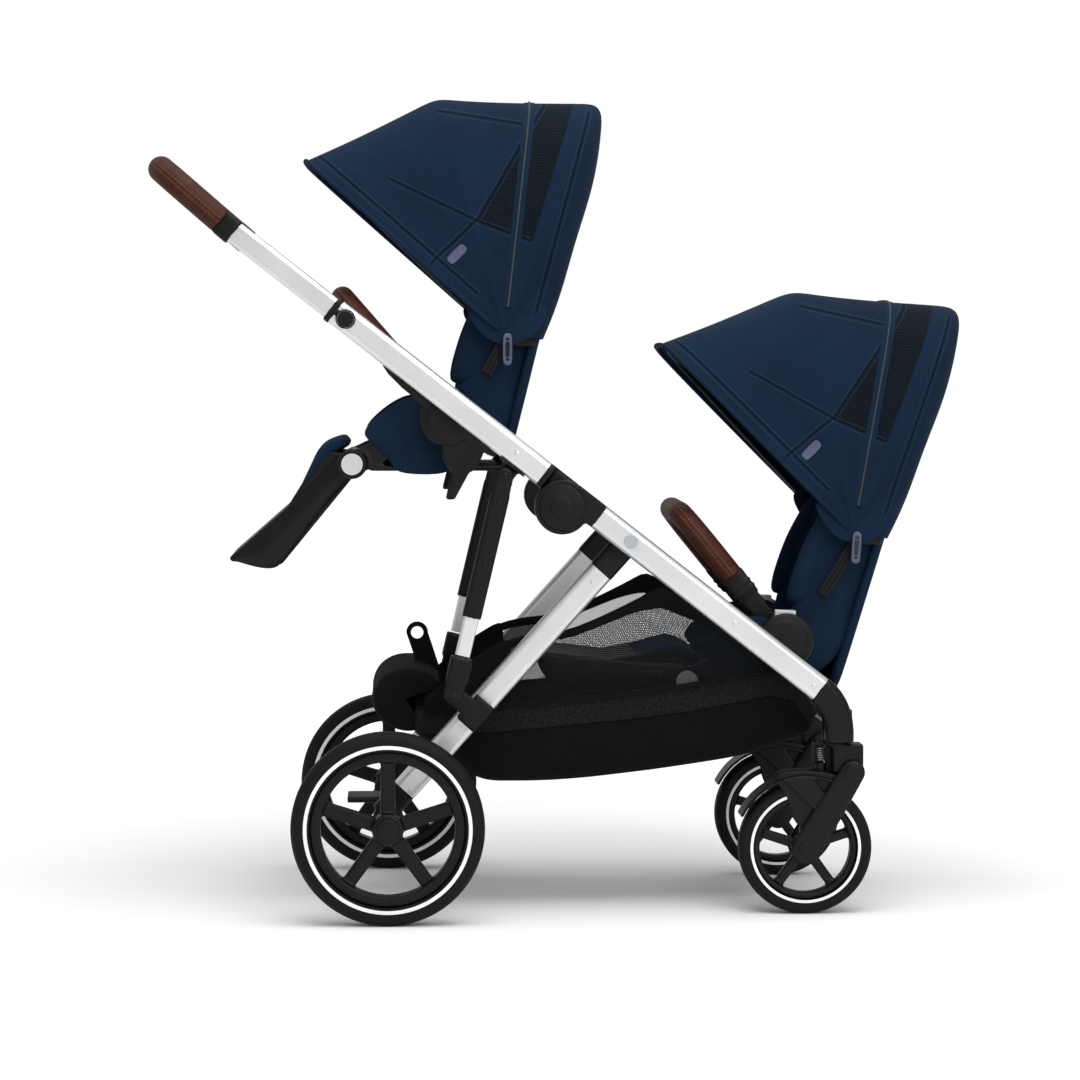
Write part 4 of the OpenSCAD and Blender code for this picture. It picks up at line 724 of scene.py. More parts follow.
def puffed(source, name, voxel, cap, rounds):
    """A cushion in a soft solid's place: its cloth is blown up a little from inside, capped, then smoothed."""
    piece = bpy.data.objects.new(name, frame["nodes"][source].data.copy())
    bpy.context.scene.collection.objects.link(piece)
    piece.data.transform(frame["nodes"][source].matrix_world)
    reskin(piece, 0.00005, voxel, rounds)
    flat = [vertex.co.copy() for vertex in piece.data.vertices]
    frames = 20
    blown = piece.modifiers.new("Blown", "CLOTH")
    blown.settings.use_pressure = True
    blown.settings.uniform_pressure_force = 4
    blown.settings.effector_weights.gravity = 0
    blown.settings.tension_stiffness = 20
    blown.settings.compression_stiffness = 20
    blown.settings.bending_stiffness = 1
    blown.point_cache.frame_start = 1
    blown.point_cache.frame_end = frames
    for step in range(1, frames + 1):
        bpy.context.scene.frame_set(step)
    bpy.ops.object.modifier_apply(modifier="Blown")
    bpy.context.scene.frame_set(1)
    for vertex, start in zip(piece.data.vertices, flat):
        move = vertex.co - start
        if move.length > cap:
            vertex.co = start + move * (cap / move.length)
    soften(piece, 4)
    bpy.ops.object.shade_smooth()
    piece.select_set(False)
    return piece


liner_twill, _, height = navy_twill("liner_twill")
place = add(liner_twill, "TexCoord").outputs["Object"]
crease = add(liner_twill, "TexNoise", {"Vector": place, "Scale": 24, "Detail": 3})
level = add(liner_twill, "Math", {0: crease, 1: 3, 2: height}, operation="MULTIPLY_ADD")
add(liner_twill, "Bump", {"Height": level, "Strength": 0.4, "Distance": 0.001}, to="Normal")
seat_tilts = {"upper": 0.0, "lower": math.radians(2)}
seat_leans = {"upper": math.radians(14), "lower": math.radians(15)}


def in_seat(seat, x, y, z):
    """A place in a seat's own frame, from its hub, as a place on the stroller."""
    x, z = turned(x, z, seat_tilts[seat])
    return seat_hubs[seat] + Vector((x, y, z))


for seat in ("upper", "lower"):
    liner = puffed(seat + "_liner", seat + "_cushion", voxel=0.005, cap=0.006, rounds=3)
    box_map(liner)
    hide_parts(seat + "_liner")
    fit(liner, liner_twill, "navy_fabric", seat + "_seat")

    # Back cover: a fitted sleeve of the same twill drawn over the backrest plate and closed at its foot
    climb = Vector((math.sin(seat_leans[seat]), 0, math.cos(seat_leans[seat])))
    rows = []
    for along, grow, half in ((0.0, 0.5, 0.098), (0.003, 0.8, 0.114), (0.012, 0.95, 0.1255), (0.03, 1, 0.1315),
        (0.06, 1.02, 0.1325), (0.13, 1.04, 0.132), (0.22, 1, 0.1325), (0.32, 1.04, 0.132), (0.405, 1, 0.131),
        (0.42, 0.92, 0.124), (0.4275, 0.55, 0.11)):
        middle = Vector((0.082, 0, -0.074)) + climb * (along - 0.006)
        ring = []
        for c, n in circle(28):
            wide = squared(c, 0.28) * half
            deep = squared(n, 0.5) * 0.0092 * grow
            ring.append(in_seat(seat, middle.x + deep * climb.z, wide, middle.z - deep * climb.x))
        rows.append(ring)
    shaped(seat + "_back_cover", rows, 1, plain_twill, "navy_fabric", seat + "_seat")

    for side, hand in both_hands:
        # Head bolster: a stuffed roll along the wing's front edge, sewn to the liner
        rows = []
        for x, z, size in (
            (0.03, 0.0505, 0.25), (0.03, 0.0525, 0.62), (0.0305, 0.058, 0.9), (0.031, 0.066, 1),
            (0.034, 0.084, 1.02), (0.039, 0.104, 1), (0.047, 0.13, 1), (0.057, 0.155, 1), (0.069, 0.18, 0.97),
            (0.082, 0.206, 0.85), (0.086, 0.214, 0.4),
        ):
            rows.append([in_seat(seat, x + 0.024 * size * c, side * (0.1175 + 0.0145 * size * n),
                z + 0.006 * size * c)
                for c, n in circle(20)])
        shaped(f"{seat}_bolster_{hand}", rows, 1, plain_twill, "navy_fabric", seat + "_seat")

        # Side skirt: a panel of the twill over the seat frame's side, pulled tight and puffed by its lining
        edge = ((-0.126, -0.022), (-0.112, -0.004), (-0.092, 0.013), (-0.07, 0.027), (-0.05, 0.033),
            (-0.028, 0.031), (0.000, 0.02), (0.018, -0.01), (0.022, -0.045), (0.012, -0.079), (-0.02, -0.084),
            (-0.05, -0.083), (-0.076, -0.08), (-0.084, -0.064), (-0.096, -0.048), (-0.114, -0.035))
        heart = Vector((-0.046, 0, -0.028))
        rows = []
        for share, out in ((1.0, 0.1575), (1.0, 0.159), (0.97, 0.1606), (0.86, 0.1628), (0.66, 0.1644),
            (0.42, 0.1652), (0.16, 0.1655), (0.02, 0.1655)):
            rows.append([in_seat(seat, heart.x + share * (x - heart.x), side * out,
                heart.z + share * (z - heart.z)) for x, z in edge])
        skirt = sheet_mesh(f"{seat}_skirt_{hand}", rows, closed=True)
        finish_mesh(skirt, subdivide=2)
        skirt.data.uv_layers.remove(skirt.data.uv_layers["cloth"])
        box_map(skirt)
        fit(skirt, plain_twill, "navy_fabric", seat + "_seat")

        # Canopy rail: a ribbed black strip on the liner's side that the canopy's pivot block clicks along
        for rib, wide, deep in (("base", 0.0088, 0.0), ("rib_low", 0.0014, -0.0055), ("rib_mid", 0.0014, 0.0),
            ("rib_high", 0.0014, 0.0055)):
            low, high = Vector((0.058, 0, 0.066)), Vector((0.108, 0, 0.152))
            run = (high - low).normalized()
            over = Vector((run.z, 0, -run.x))
            thick = 0.1428 if rib == "base" else 0.145
            corners = [low - over * (wide - deep), low + over * (wide + deep), high + over * (wide + deep),
                high - over * (wide - deep)]
            rows = [[in_seat(seat, c.x, side * y, c.z) for c in corners] for y in (0.1325, thick)]
            rows.append([in_seat(seat, (c.x * 0.9 + (low.x + high.x) * 0.05), side * thick,
                (c.z * 0.9 + (low.z + high.z) * 0.05)) for c in corners])
            shaped(f"{seat}_canopy_rail_{rib}_{hand}", rows, 0, grained, "black_plastic", seat + "_seat")


# Harness: five straps of woven black webbing that meet in a nylon buckle with one round release button, and a
# foam pad in navy twill on each shoulder strap. The straps come out of slots in the liner.
webbing = finish("black_webbing", {"Roughness": 0.8, "Specular IOR Level": 0.15, "Base Color": srgb("#0b0b0c")})
place = add(webbing, "UVMap", uv_map="cloth")
weave = add(webbing, "TexWave", {"Vector": place, "Scale": 190, "Distortion": 0.5}, bands_direction="DIAGONAL")
add(webbing, "Bump", {"Height": weave.outputs["Fac"], "Strength": 0.6, "Distance": 0.0008}, to="Normal")
for seat in ("upper", "lower"):
    back_over = Vector((-math.cos(seat_leans[seat]), 0, math.sin(seat_leans[seat])))
    flat_over = Vector((-0.5, 0, 0.86))
    shoulder = [((0.112, 0.056, 0.232), back_over), ((0.107, 0.055, 0.218), back_over),
        ((0.098, 0.053, 0.18), back_over), ((0.086, 0.049, 0.132), back_over),
        ((0.073, 0.041, 0.082), back_over), ((0.06, 0.031, 0.04), back_over), ((0.044, 0.021, 0.01), flat_over),
        ((0.028, 0.013, -0.005), flat_over)]
    waist = [((0.056, 0.101, 0.000), flat_over), ((0.05, 0.085, 0.001), flat_over),
        ((0.04, 0.06, 0.000), flat_over), ((0.03, 0.034, -0.003), flat_over),
        ((0.024, 0.012, -0.006), flat_over)]
    crotch = [((-0.042, 0.0, -0.027), Vector((0, 0, 1))), ((-0.03, 0.0, -0.021), Vector((0, 0, 1))),
        ((-0.01, 0.0, -0.017), Vector((0, 0, 1))), ((0.012, 0.0, -0.01), flat_over)]
    parts = [("crotch", crotch, 1, 0.015, 0.0012, webbing)]
    for side, hand in both_hands:
        parts.append(("shoulder_" + hand, shoulder, side, 0.0125, 0.0011, webbing))
        parts.append(("waist_" + hand, waist, side, 0.0125, 0.0011, webbing))
        parts.append(("pad_" + hand, shoulder[1:5], side, 0.023, 0.006, liner_twill))
    for part, path, side, half, thick, material in parts:
        places = [Vector((x, side * y, z)) for (x, y, z), over in path]
        rows = []
        for k, p in enumerate(places):
            over = path[k][1]
            run = heading(places, k)
            across = run.cross(over).normalized()
            taper = 0.55 if "pad" in part and k in (0, len(places) - 1) else 1
            ring = []
            for c, n in circle(12, 15):
                spot = p + across * squared(c, 0.4) * half * (0.5 + 0.5 * taper)
                spot += over * (squared(n, 0.6) * thick * taper)
                ring.append(in_seat(seat, *spot))
            rows.append(ring)
        slot = "navy_fabric" if "pad" in part else "black_fabric"
        strap = shaped(f"{seat}_harness_{part}", rows, 2 if "pad" in part else 1, material, slot, seat + "_seat")
    # Buckle: a rounded shell of 52 by 44 mm, and its button
    side_way, up_way = Vector((0, 1, 0)), flat_over.cross(Vector((0, 1, 0)))
    for part, half_w, half_l, low, high, material, slot in (
        ("buckle", 0.026, 0.022, -0.003, 0.0105, grained, "black_plastic"),
        ("release", 0.0105, 0.0105, 0.008, 0.0135, grey_nylon, "grey_plastic"),
    ):
        rows = []
        for rise, size in ((low, 0.9), (low + 0.002, 1), (high - 0.004, 1), (high - 0.001, 0.92), (high, 0.75),
            (high, 0.3)):
            ring = []
            for c, n in circle(24):
                sharp = 0.55 if part == "buckle" else 1
                spot = Vector((0.022, 0, -0.008)) + side_way * squared(c, sharp) * half_w * size
                spot += up_way * squared(n, sharp) * half_l * size + flat_over * rise
                ring.append(in_seat(seat, *spot))
            rows.append(ring)
        shaped(f"{seat}_harness_{part}", rows, 1, material, slot, seat + "_seat")


# Leg rests: a scoop of black nylon with domed flanks, swung on the pins in front of the seat, and a short pad
# of foam in navy twill buttoned over its knee, where the child's legs bend.
rest_pivots = {"upper": Vector((-0.3066, 0, 0.6606)), "lower": Vector((0.1878, 0, 0.3391))}
for seat, fall in (("upper", math.radians(38)), ("lower", math.radians(-10))):
    along = Vector((-math.cos(fall), 0, -math.sin(fall)))
    over = Vector((-math.sin(fall), 0, math.cos(fall)))
    pivot = rest_pivots[seat]
    rest = seat + "_leg_rest"
    moulded(rest, rest, rounds=12, faces=50000)
    rows = []
    for u, n, deep, wide in (
        (-0.0155, 0.031, 0.003, 0.1), (-0.015, 0.031, 0.006, 0.107), (-0.012, 0.032, 0.0088, 0.112),
        (-0.004, 0.034, 0.01, 0.1145), (0.008, 0.0375, 0.0108, 0.1155), (0.022, 0.039, 0.0108, 0.1155),
        (0.036, 0.035, 0.0092, 0.115), (0.05, 0.0297, 0.007, 0.1145), (0.064, 0.0245, 0.0052, 0.114),
        (0.075, 0.0207, 0.0038, 0.112), (0.079, 0.0194, 0.0024, 0.108), (0.0797, 0.0192, 0.0008, 0.102),
    ):
        ring = []
        for c, s in circle(32):
            y = squared(c, 0.25) * wide
            ring.append(pivot + along * u + over * (n + squared(s, 0.6) * deep) + Vector((0, y, 0)))
        rows.append(ring)
    shaped(rest + "_pad", rows, 1, liner_twill, "navy_fabric", rest)

    # Flank covers: each dome follows the scoop's outline and is highest along its middle
    edge = ((0.000, 0.02), (0.015, 0.022), (0.05, 0.0155), (0.09, 0.0115), (0.12, 0.009), (0.16, 0.004),
        (0.195, 0.001), (0.222, 0.001), (0.231, -0.0015), (0.222, -0.014), (0.208, -0.034), (0.193, -0.049),
        (0.182, -0.0535), (0.168, -0.0515), (0.14, -0.0435), (0.114, -0.036), (0.086, -0.029), (0.06, -0.0225),
        (0.03, -0.018), (0.008, -0.017))
    for side, hand in both_hands:
        rows = []
        for share, out in ((0, 0.1125), (0.02, 0.114), (0.1, 0.116), (0.3, 0.1185), (0.55, 0.1205),
            (0.8, 0.1215), (0.97, 0.1218)):
            ring = []
            for u, n in edge:
                mid = min(max(u, 0.01), 0.185)
                ring.append(pivot + along * (u + share * (mid - u)) + over * (n + share * (0.002 - 0.13 * mid - n))
                    + Vector((0, side * out, 0)))
            rows.append(ring)
        shaped(f"{rest}_flank_{hand}", rows, 2, grained, "black_plastic", rest)


# Shopping basket: a tub of black polyester canvas hung between the lower tubes and the rear legs. It sags under
# its own weight, a heather grey band is felled to its mouth, and the mouth is bound with black tape.
canvas = finish("black_canvas", {"Roughness": 0.88, "Specular IOR Level": 0.12})
place = add(canvas, "UVMap", uv_map="cloth")
warp = add(canvas, "TexWave", {"Vector": place, "Scale": 160, "Distortion": 1.0}, bands_direction="X")
weft = add(canvas, "TexWave", {"Vector": place, "Scale": 160, "Distortion": 1.0}, bands_direction="Y")
threads = add(canvas, "Math", {0: warp.outputs["Fac"], 1: weft.outputs["Fac"]}, operation="MULTIPLY")
slub = add(canvas, "TexNoise", {"Vector": place, "Scale": 300, "Detail": 2})
wear = add(canvas, "TexNoise", {"Vector": place, "Scale": 14, "Detail": 4})
tub_tone = add(canvas, "ValToRGB", {"Fac": wear}, stops=((0, "#050505"), (1, "#0c0c0c")))
heather = add(canvas, "ValToRGB", {"Fac": slub}, stops=((0.35, "#0b0b0b"), (0.68, "#1f2020")))
# The band reaches down from the mouth to a lower edge that is turned and top stitched
band_drop = 0.038
mouth = add(canvas, "SeparateXYZ", {"Vector": add(canvas, "UVMap", uv_map="mouth")})
band = add(canvas, "Math", {0: mouth.outputs["Y"], 1: band_drop}, operation="LESS_THAN")
blend = add(canvas, "Mix", {"Factor": band, 6: tub_tone, 7: heather}, data_type="RGBA")
from_seam = add(canvas, "Math", {0: mouth.outputs["Y"], 1: band_drop}, operation="SUBTRACT")
away = add(canvas, "Math", {0: from_seam}, operation="ABSOLUTE")
groove = add(canvas, "MapRange", {"Value": away, "From Min": 0.0006, "From Max": 0.0022, "To Min": 1, "To Max": 0})
# The seam line is painted near black: painted shade in its groove
add(canvas, "Mix", {"Factor": groove, 6: blend, 7: srgb("#020202")}, data_type="RGBA", to="Base Color")
proud = add(canvas, "Math", {0: band, 1: 1.5, 2: threads}, operation="MULTIPLY_ADD")
crumple = add(canvas, "Math", {0: wear, 1: 4, 2: proud}, operation="MULTIPLY_ADD")
level = add(canvas, "Math", {0: groove, 1: -2, 2: crumple}, operation="MULTIPLY_ADD")
add(canvas, "Bump", {"Height": level, "Strength": 0.5, "Distance": 0.0009}, to="Normal")

# Tape and roll cover: black polyester in a fine diagonal rib, a little paler where it is worn
tape = finish("black_tape", {"Roughness": 0.85, "Specular IOR Level": 0.12})
place = add(tape, "UVMap", uv_map="cloth")
ribs = add(tape, "TexWave", {"Vector": place, "Scale": 150, "Distortion": 0.8}, bands_direction="DIAGONAL")
wear = add(tape, "TexNoise", {"Vector": place, "Scale": 30, "Detail": 4})
add(tape, "ValToRGB", {"Fac": wear}, stops=((0, "#050506"), (1, "#0e0e0f")), to="Base Color")
level = add(tape, "Math", {0: wear, 1: 3, 2: ribs.outputs["Fac"]}, operation="MULTIPLY_ADD")
add(tape, "Bump", {"Height": level, "Strength": 0.45, "Distance": 0.0008}, to="Normal")

mouth_line = ((-0.2145, 0.298), (-0.15, 0.3005), (-0.0916, 0.303), (0.0, 0.3115), (0.1155, 0.3225), (0.2, 0.334),
    (0.3106, 0.3555), (0.345, 0.347), (0.382, 0.292))
floor_line = ((-0.2145, 0.2626), (-0.165, 0.2225), (-0.1203, 0.189), (-0.045, 0.1885), (0.0213, 0.191),
    (0.15, 0.206), (0.265, 0.2235), (0.33, 0.243), (0.3754, 0.261), (0.382, 0.284))


def on_line(line, x):
    """The height of a line of (x, z) points at x."""
    for (ax, az), (bx, bz) in zip(line, line[1:]):
        if x <= bx:
            return az + (bz - az) * (x - ax) / (bx - ax)
    return line[-1][1]


rows = []
for x, half, bulge in (
    (-0.2155, 0.0, 0), (-0.216, 0.08, 0), (-0.216, 0.13, 0), (-0.2145, 0.158, 0), (-0.209, 0.168, 0.2),
    (-0.195, 0.171, 0.4), (-0.16, 0.1715, 0.7), (-0.12, 0.1715, 1), (-0.08, 0.1715, 1), (-0.04, 0.1715, 1),
    (0.0, 0.1715, 1), (0.045, 0.1715, 1), (0.09, 0.1715, 1), (0.135, 0.1715, 1), (0.18, 0.1715, 1),
    (0.22, 0.1715, 1), (0.26, 0.1715, 1), (0.295, 0.1715, 0.9), (0.325, 0.171, 0.7), (0.35, 0.17, 0.5),
    (0.368, 0.167, 0.3), (0.378, 0.158, 0), (0.3815, 0.135, 0), (0.3825, 0.08, 0), (0.3825, 0.0, 0),
):
    top, low = on_line(mouth_line, x), on_line(floor_line, x)
    tall = top - low
    turn = min(0.034, tall * 0.42)
    side = [(half, top), (half, top - 0.01)]
    side += [(half + 0.0009 * bulge, top - 0.25 * tall), (half + 0.0009 * bulge, top - 0.45 * tall),
        (half, top - 0.62 * tall)]
    side += [(half - turn + turn * math.cos(math.radians(a)), low + turn - turn * math.sin(math.radians(a)))
        for a in (15, 38, 62, 86)]
    side += [((half - turn) * share, low - 0.004 * bulge * (1 - share)) for share in (0.66, 0.33)]
    side = [(max(y, 0.0) if half else 0.0, z) for y, z in side]
    rows.append(both_halves([Vector((x, -y, z)) for y, z in side] + [Vector((x, 0, low - 0.004 * bulge))]))
tub = sheet_mesh("basket_tub", rows)
area = finish_mesh(tub, subdivide=2)
mouth_map = tub.data.uv_layers.new(name="mouth")
for loop in tub.data.loops:
    spot = tub.data.vertices[loop.vertex_index].co
    mouth_map.data[loop.index].uv = (spot.x, on_line(mouth_line, spot.x) - spot.z)
finish_mesh(tub, thick=0.0024, offset=-1)
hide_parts("basket")
fit(tub, canvas, "black_fabric", "chassis")

# Mouth binding: tape folded round the tub's free edge, a flat bead 11 mm high
arch = [Vector((x, side * 0.1715, on_line(mouth_line, x))) for side, xs in (
    (-1, (0.345, 0.32, 0.29, 0.25, 0.2, 0.15, 0.1, 0.05, 0.0, -0.05, -0.1, -0.15, -0.195)),
    (1, (-0.195, -0.15, -0.1, -0.05, 0.0, 0.05, 0.1, 0.15, 0.2, 0.25, 0.29, 0.32, 0.345))) for x in xs]
arch[13:13] = [Vector((-0.212, -0.16, 0.298)), Vector((-0.2155, -0.1, 0.298)), Vector((-0.2155, 0, 0.298)),
    Vector((-0.2155, 0.1, 0.298)), Vector((-0.212, 0.16, 0.298))]
rows = []
for k, p in enumerate(arch):
    run = heading(arch, k)
    out = run.cross(Vector((0, 0, 1))).normalized()
    rows.append([p + out * 0.0028 * c + Vector((0, 0, 0.0055 * n)) for c, n in circle(10)])
binding = shaped("basket_binding", rows, 1, tape, "black_fabric", "chassis")


# Basket sides: panels of knitted net from the tub's mouth up to a strap on each lower tube, edged with tape, with
# a gusset of the ribbed cloth at the rear. The net is open enough to see the seat and its leg rest through it.
net = finish("knitted_net", {"Roughness": 0.8, "Specular IOR Level": 0.2, "Base Color": srgb("#0a0a0b")})
place = add(net, "UVMap", uv_map="cloth")
bias = add(net, "Mapping", {"Vector": place, "Rotation": (0, 0, math.radians(22.5))})
cells = add(net, "TexVoronoi", {"Vector": bias, "Scale": 300, "Randomness": 0.15}, feature="DISTANCE_TO_EDGE")
yarns = add(net, "MapRange", {"Value": cells, "From Min": 0.11, "From Max": 0.22, "To Min": 1, "To Max": 0},
    to="Alpha")
add(net, "Bump", {"Height": yarns, "Strength": 0.5, "Distance": 0.0006}, to="Normal")
net_top = ((-0.2, 0.318), (-0.168, 0.343), (-0.13, 0.375), (-0.088, 0.401), (-0.044, 0.411), (0.005, 0.414),
    (0.04, 0.428), (0.08, 0.446), (0.12, 0.466), (0.15, 0.483), (0.2, 0.447), (0.25, 0.409), (0.3, 0.37),
    (0.318, 0.3555))
for side, hand in both_hands:
    for part, xs, material, slot in (
        ("net", (-0.075, -0.044, -0.02, 0.005, 0.04, 0.08, 0.12, 0.15, 0.175, 0.2, 0.225, 0.25, 0.275, 0.3,
        0.312), net, "mesh"),
        ("gusset", (-0.2, -0.184, -0.168, -0.149, -0.13, -0.109, -0.088, -0.075), tape, "black_fabric"),
    ):
        rows = []
        for x in xs:
            low, high = on_line(mouth_line, x) - 0.006, on_line(net_top, x)
            rows.append([Vector((x, side * (0.1732 + 0.0012 * math.sin(math.pi * k / 6)),
                low + (high - low) * k / 6)) for k in range(7)])
        panel = sheet_mesh(f"basket_{part}_{hand}", rows)
        area = finish_mesh(panel, subdivide=1, thick=0.0008 if part == "net" else 0.0018)
        dress(panel, material)
        if part == "net":
            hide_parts("basket_mesh")
            # The right panel's cells lie mirrored, so that the two nets do not beat into bands
            for corner in panel.data.uv_layers["cloth"].data:
                corner.uv.x *= side
        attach(panel, "chassis")
    # Edge tape: folded over the panel's upper edge and widening to a patch where the strap takes hold
    rows = []
    for x, wide in ((-0.2, 0.01), (-0.168, 0.012), (-0.13, 0.013), (-0.088, 0.013), (-0.044, 0.013),
        (0.005, 0.013), (0.04, 0.014), (0.08, 0.016), (0.11, 0.019), (0.132, 0.027), (0.15, 0.034),
        (0.172, 0.03), (0.195, 0.02), (0.225, 0.013), (0.27, 0.011), (0.312, 0.008)):
        high = on_line(net_top, x)
        rows.append([Vector((x, side * y, z)) for y, z in ((0.1724, high - wide), (0.1721, high - 0.002),
            (0.1736, high + 0.0012), (0.1753, high - 0.002), (0.1752, high - wide))])
    shaped(f"basket_edge_{hand}", rows, 1, tape, "black_fabric", "chassis")


# Rear roll: a foam bolster in the ribbed black cloth at the basket's mouth, bent over it like a saddle. Beside
# it stands a pull tab of the same cloth with a punched hand hole.
wrap = [Vector(p) for p in ((-0.178, 0, 0.331), (-0.198, 0, 0.338), (-0.22, 0, 0.3425), (-0.243, 0, 0.341),
    (-0.259, 0, 0.329), (-0.2635, 0, 0.311), (-0.257, 0, 0.295), (-0.243, 0, 0.284), (-0.222, 0, 0.279),
    (-0.202, 0, 0.277))]
rows = []
for y, size in ((-0.15, 0.3), (-0.1497, 0.55), (-0.148, 0.78), (-0.143, 0.93), (-0.13, 1), (-0.09, 1.05),
    (-0.045, 0.97), (0, 1.04), (0.045, 0.97), (0.09, 1.05), (0.13, 1), (0.143, 0.93), (0.148, 0.78),
    (0.1497, 0.55), (0.15, 0.3)):
    outer, inner = [], []
    for k, p in enumerate(wrap):
        run = heading(wrap, k)
        away = Vector((run.z, 0, -run.x)) * 0.0175 * size * (0.6 if k in (0, len(wrap) - 1) else 1)
        outer.append(p - away + Vector((0, y, 0)))
        inner.append(p + away + Vector((0, y, 0)))
    rows.append(outer + list(reversed(inner)))
shaped("basket_roll", rows, 2, tape, "black_fabric", "chassis")

tab_x, tab_z = -0.2105, 0.4005
upright = {"vertices": 48, "location": (tab_x, 0, tab_z), "rotation": (math.radians(90), 0, 0)}
bpy.ops.mesh.primitive_cylinder_add(radius=0.0165, depth=0.0036, **upright)
tab = bpy.context.object
tab.name = "pull_tab"
bpy.ops.object.transform_apply(location=True, rotation=True, scale=True)
for vertex in tab.data.vertices:
    if vertex.co.z < tab_z - 0.0008:
        vertex.co += Vector((0.0265, 0, -0.078)) * (1 if vertex.co.z < tab_z - 0.002 else 0.96)
bpy.ops.mesh.primitive_cylinder_add(radius=0.0094, depth=0.02, **upright)
punch = bpy.context.object
tab.modifiers.new("Hand hole", "BOOLEAN").object = punch
pick(tab)
bpy.ops.object.modifier_apply(modifier="Hand hole")
bpy.data.objects.remove(punch)
box_map(tab)
bpy.ops.object.shade_smooth_by_angle(angle=math.radians(40))
tab.select_set(False)
fit(tab, tape, "black_fabric", "chassis")


# Front forks: each wheel hangs between two smooth tapered arms with a round boss at either end, and the side
# of the mudguard closes the space between arm and tyre. All are skins of the black nylon fork.
axle_spot, link_spot = Vector((0.3584, 0, 0.098)), Vector((0.426, 0, 0.21))
for hand, middle in (("right", -0.2), ("left", 0.2)):
    for side, face in ((-1, "outer" if middle < 0 else "inner"), (1, "inner" if middle < 0 else "outer")):
        run = (link_spot - axle_spot).normalized()
        aside = Vector((run.z, 0, -run.x))
        arm_edge = [(axle_spot, 0.0225, a) for a in range(90, 271, 20)]
        arm_edge += [(link_spot, 0.0185, a) for a in range(-90, 91, 20)]
        rows = []
        for share, out in ((0, 0.0222), (0, 0.03), (0.04, 0.0318), (0.16, 0.0334), (0.4, 0.0342), (0.75, 0.0345),
            (0.97, 0.0346)):
            ring = []
            for heart, radius, a in arm_edge:
                away = (run * math.cos(math.radians(a)) + aside * math.sin(math.radians(a))) * radius * (1 - share)
                ring.append(heart + away + Vector((0, middle + side * out, 0)))
            rows.append(ring)
        shaped(f"fork_{hand}_arm_{face}", rows, 2, grained, "black_plastic", "fork_" + hand)
        guard_edge = [(-0.041, 0.0927), (-0.046, 0.104), (-0.04, 0.111), (-0.02, 0.114), (0.014, 0.114),
            (0.04, 0.11), (0.06, 0.1), (0.058, 0.085), (0.03, 0.04), (0.008, 0.018), (-0.011, 0.029),
            (-0.02, 0.05), (-0.026, 0.071), (-0.032, 0.083)]
        rows = []
        for share, out in ((1, 0.0201), (1, 0.0208), (0.97, 0.0214), (0.8, 0.0217), (0.4, 0.0218)):
            rows.append([axle_spot + Vector((0.002 + share * (x - 0.002), middle + side * out,
                0.08 + share * (z - 0.08))) for x, z in guard_edge])
        shaped(f"fork_{hand}_guard_{face}", rows, 1, grained, "black_plastic", "fork_" + hand)
        # Web: the caster's inner wall behind the spring
        if face == "inner":
            web_edge = ((0.371, 0.2525), (0.402, 0.2525), (0.404, 0.2), (0.398, 0.1965), (0.378, 0.213),
                (0.371, 0.222))
            rows = [[Vector((x, middle + side * out, z)) for x, z in web_edge] for out in (0.0085, 0.0115)]
            shaped(f"caster_{hand}_web", rows, 0, grained, "black_plastic", "caster_" + hand)


# Adapter rails: a slim black rib along the inner foot of each upper tube, which carries the seat's adapter and
# is held by a screw near its tip.
tube_foot = Vector((0.0128, 0, 0.6176))
tube_run, tube_over = Vector((-0.788, 0, 0.6157)), Vector((0.6157, 0, 0.788))
for side, hand in both_hands:
    rows = []
    for along, low in ((0.12, -0.0165), (0.1215, -0.0255), (0.132, -0.029), (0.18, -0.03), (0.235, -0.03),
        (0.29, -0.0285), (0.318, -0.025), (0.331, -0.0205), (0.3325, -0.018)):
        rows.append([tube_foot + tube_run * along + tube_over * up + Vector((0, side * y, 0)) for y, up in (
            (0.1985, low + 0.002), (0.2, low), (0.209, low), (0.2105, low + 0.002), (0.2105, -0.015),
            (0.1985, -0.015))])
    shaped(f"adapter_rail_{hand}", rows, 0, grained, "black_plastic", "upper_frame")


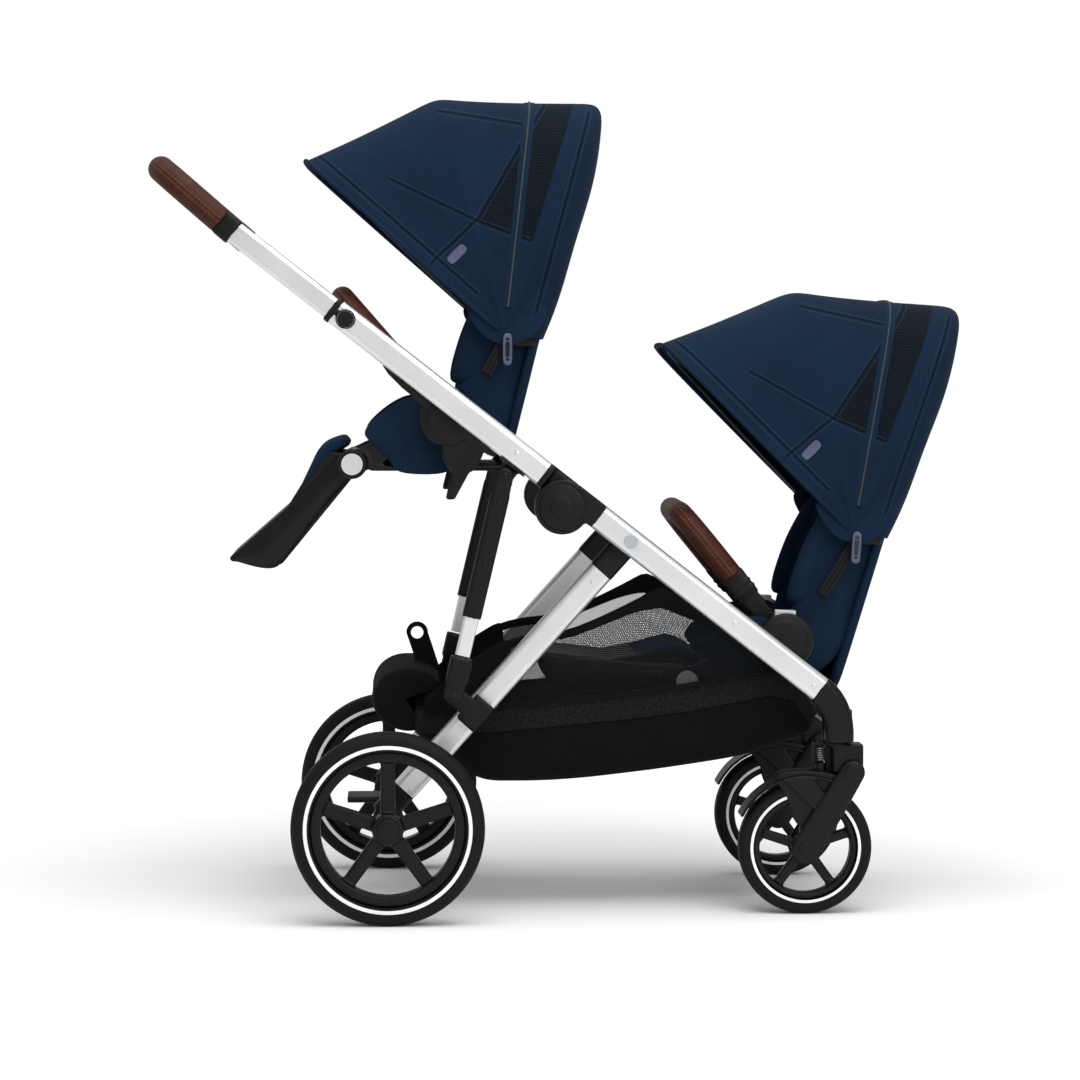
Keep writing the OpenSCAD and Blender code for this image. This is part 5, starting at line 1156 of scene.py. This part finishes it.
# Screws, rivets and caps: round heads standing a millimetre or so off the faces that they hold. The rivets in
# the tubes are bright aluminium, the screws blackened steel and the boss caps black nylon.
rim_share = 0.35  # how much of a head's height its rounded rim takes
blackened = finish("blackened_steel", {"Metallic": 0.7, "Roughness": 0.26, "Base Color": srgb("#1c1c1e")})
head_looks = {"rivet": (anodised, "aluminium"), "screw": (blackened, "steel"), "cap": (grained, "black_plastic")}
for side, hand in both_hands:
    for name, x, z, y, radius, tall, body in (
        ("rivet_tube_upper", -0.0661, 0.6785, 0.2414, 0.0035, 0.0022, "upper_frame"),
        ("rivet_tube_mid", 0.2518, 0.4305, 0.2414, 0.0035, 0.0022, "chassis"),
        ("rivet_tube_low", 0.3671, 0.3385, 0.2414, 0.0035, 0.0022, "chassis"),
        ("rivet_leg_top", 0.0458, 0.488, 0.2044, 0.0035, 0.0022, "rear_frame"),
        ("rivet_leg_low", -0.2197, 0.182, 0.2044, 0.0035, 0.0022, "rear_frame"),
        ("screw_strut_top", -0.0837, 0.6458, 0.2398, 0.0052, 0.003, "struts"),
        ("screw_sleeve_top", -0.0913, 0.6074, 0.2384, 0.004, 0.0026, "struts"),
        ("screw_sleeve_mid", -0.1129, 0.5156, 0.2384, 0.004, 0.0026, "struts"),
        ("screw_sleeve_low", -0.1516, 0.359, 0.2399, 0.004, 0.0026, "struts"),
        ("screw_strut_foot", -0.1587, 0.3275, 0.2398, 0.0052, 0.003, "struts"),
        ("cap_fold_rim", -0.0006, 0.6005, 0.247, 0.0335, 0.004, "chassis"),
        ("cap_fold", -0.0006, 0.6005, 0.2486, 0.0175, 0.0046, "chassis"),
        ("cap_seat_upper", -0.1666, 0.7286, 0.2042, 0.0405, 0.011, "upper_frame"),
        ("cap_seat_lower", 0.3301, 0.4022, 0.2042, 0.0405, 0.011, "chassis"),
        ("cap_link", 0.426, 0.21, 0.2349, 0.012, 0.0024, f"fork_{hand}"),
        ("cap_axle", 0.3584, 0.098, 0.2349, 0.0112, 0.0024, f"fork_{hand}"),
    ):
        piece = round_head(f"{name}_{hand}", (x, side * y, z), radius, tall, rim=tall * rim_share)
        fit(piece, *head_looks[name.split("_")[0]], body)


# Studio: one white floor that runs out into a white surround, a broad lamp overhead and a weaker one in front,
# to the right of the camera, so the near side is evenly lit and only a soft shadow lies under the wheels.
bpy.ops.mesh.primitive_plane_add(size=40, location=(0, 0, 0))
floor = bpy.context.object
floor.name = "studio_floor"
bpy.ops.object.mode_set(mode="EDIT")
bpy.ops.mesh.subdivide(number_cuts=3)
bpy.ops.object.mode_set(mode="OBJECT")
paper = finish("studio_paper", {"Roughness": 0.95, "Base Color": srgb("#fafafa"), "Specular IOR Level": 0.1,
    "Emission Color": (1, 1, 1, 1)})
seen = add(paper, "LightPath").outputs["Is Camera Ray"]
far = add(paper, "VectorMath", {0: add(paper, "TexCoord").outputs["Object"]}, operation="LENGTH")
fade = add(paper, "MapRange", {"Value": far, "From Min": 0.7, "From Max": 2.6, "To Min": 0.0, "To Max": 0.5})
add(paper, "Math", {0: seen, 1: fade}, operation="MULTIPLY", to="Emission Strength")
dress(floor, paper)
floor.select_set(False)

world = bpy.data.worlds.new("studio")
bpy.context.scene.world = world
world.use_nodes = True
surround = world.node_tree.nodes["Background"]
surround.inputs["Color"].default_value = (1, 1, 1, 1)
seen = add(world, "LightPath")
straight = add(world, "Math", {0: seen.outputs["Is Camera Ray"], 1: seen.outputs["Is Transmission Ray"]},
    operation="MAXIMUM")
strength = add(world, "Math", {0: straight, 1: 0.45, 2: 0.55}, operation="MULTIPLY_ADD")
wire(world, strength, surround.inputs["Strength"])
for name, size, power, spot, aim in (
    ("overhead", 3.0, 90, (0.2, -0.8, 3.4), (0, 0, 0.5)),
    ("front", 2.4, 46, (1.3, -3.7, 2.2), (0, 0, 0.6)),
):
    bpy.ops.object.light_add(type="AREA", location=spot)
    lamp = bpy.context.object
    lamp.name = name
    lamp.data.size = size
    lamp.data.energy = power
    lamp.rotation_euler = (Vector(aim) - Vector(spot)).to_track_quat("-Z", "Y").to_euler()
    lamp.select_set(False)

# Camera of the photograph: five and a half metres off the right side with a long lens
bpy.ops.object.camera_add(location=(-0.2357, -5.515, 0.823))
camera = bpy.context.object
camera.data.lens = 121.3
camera.data.sensor_width = 36
camera.data.clip_end = 100
camera.rotation_euler = (math.radians(90 - 2.93), 0, math.radians(-2.2))
bpy.context.scene.camera = camera
bpy.context.scene.view_settings.view_transform = "Standard"
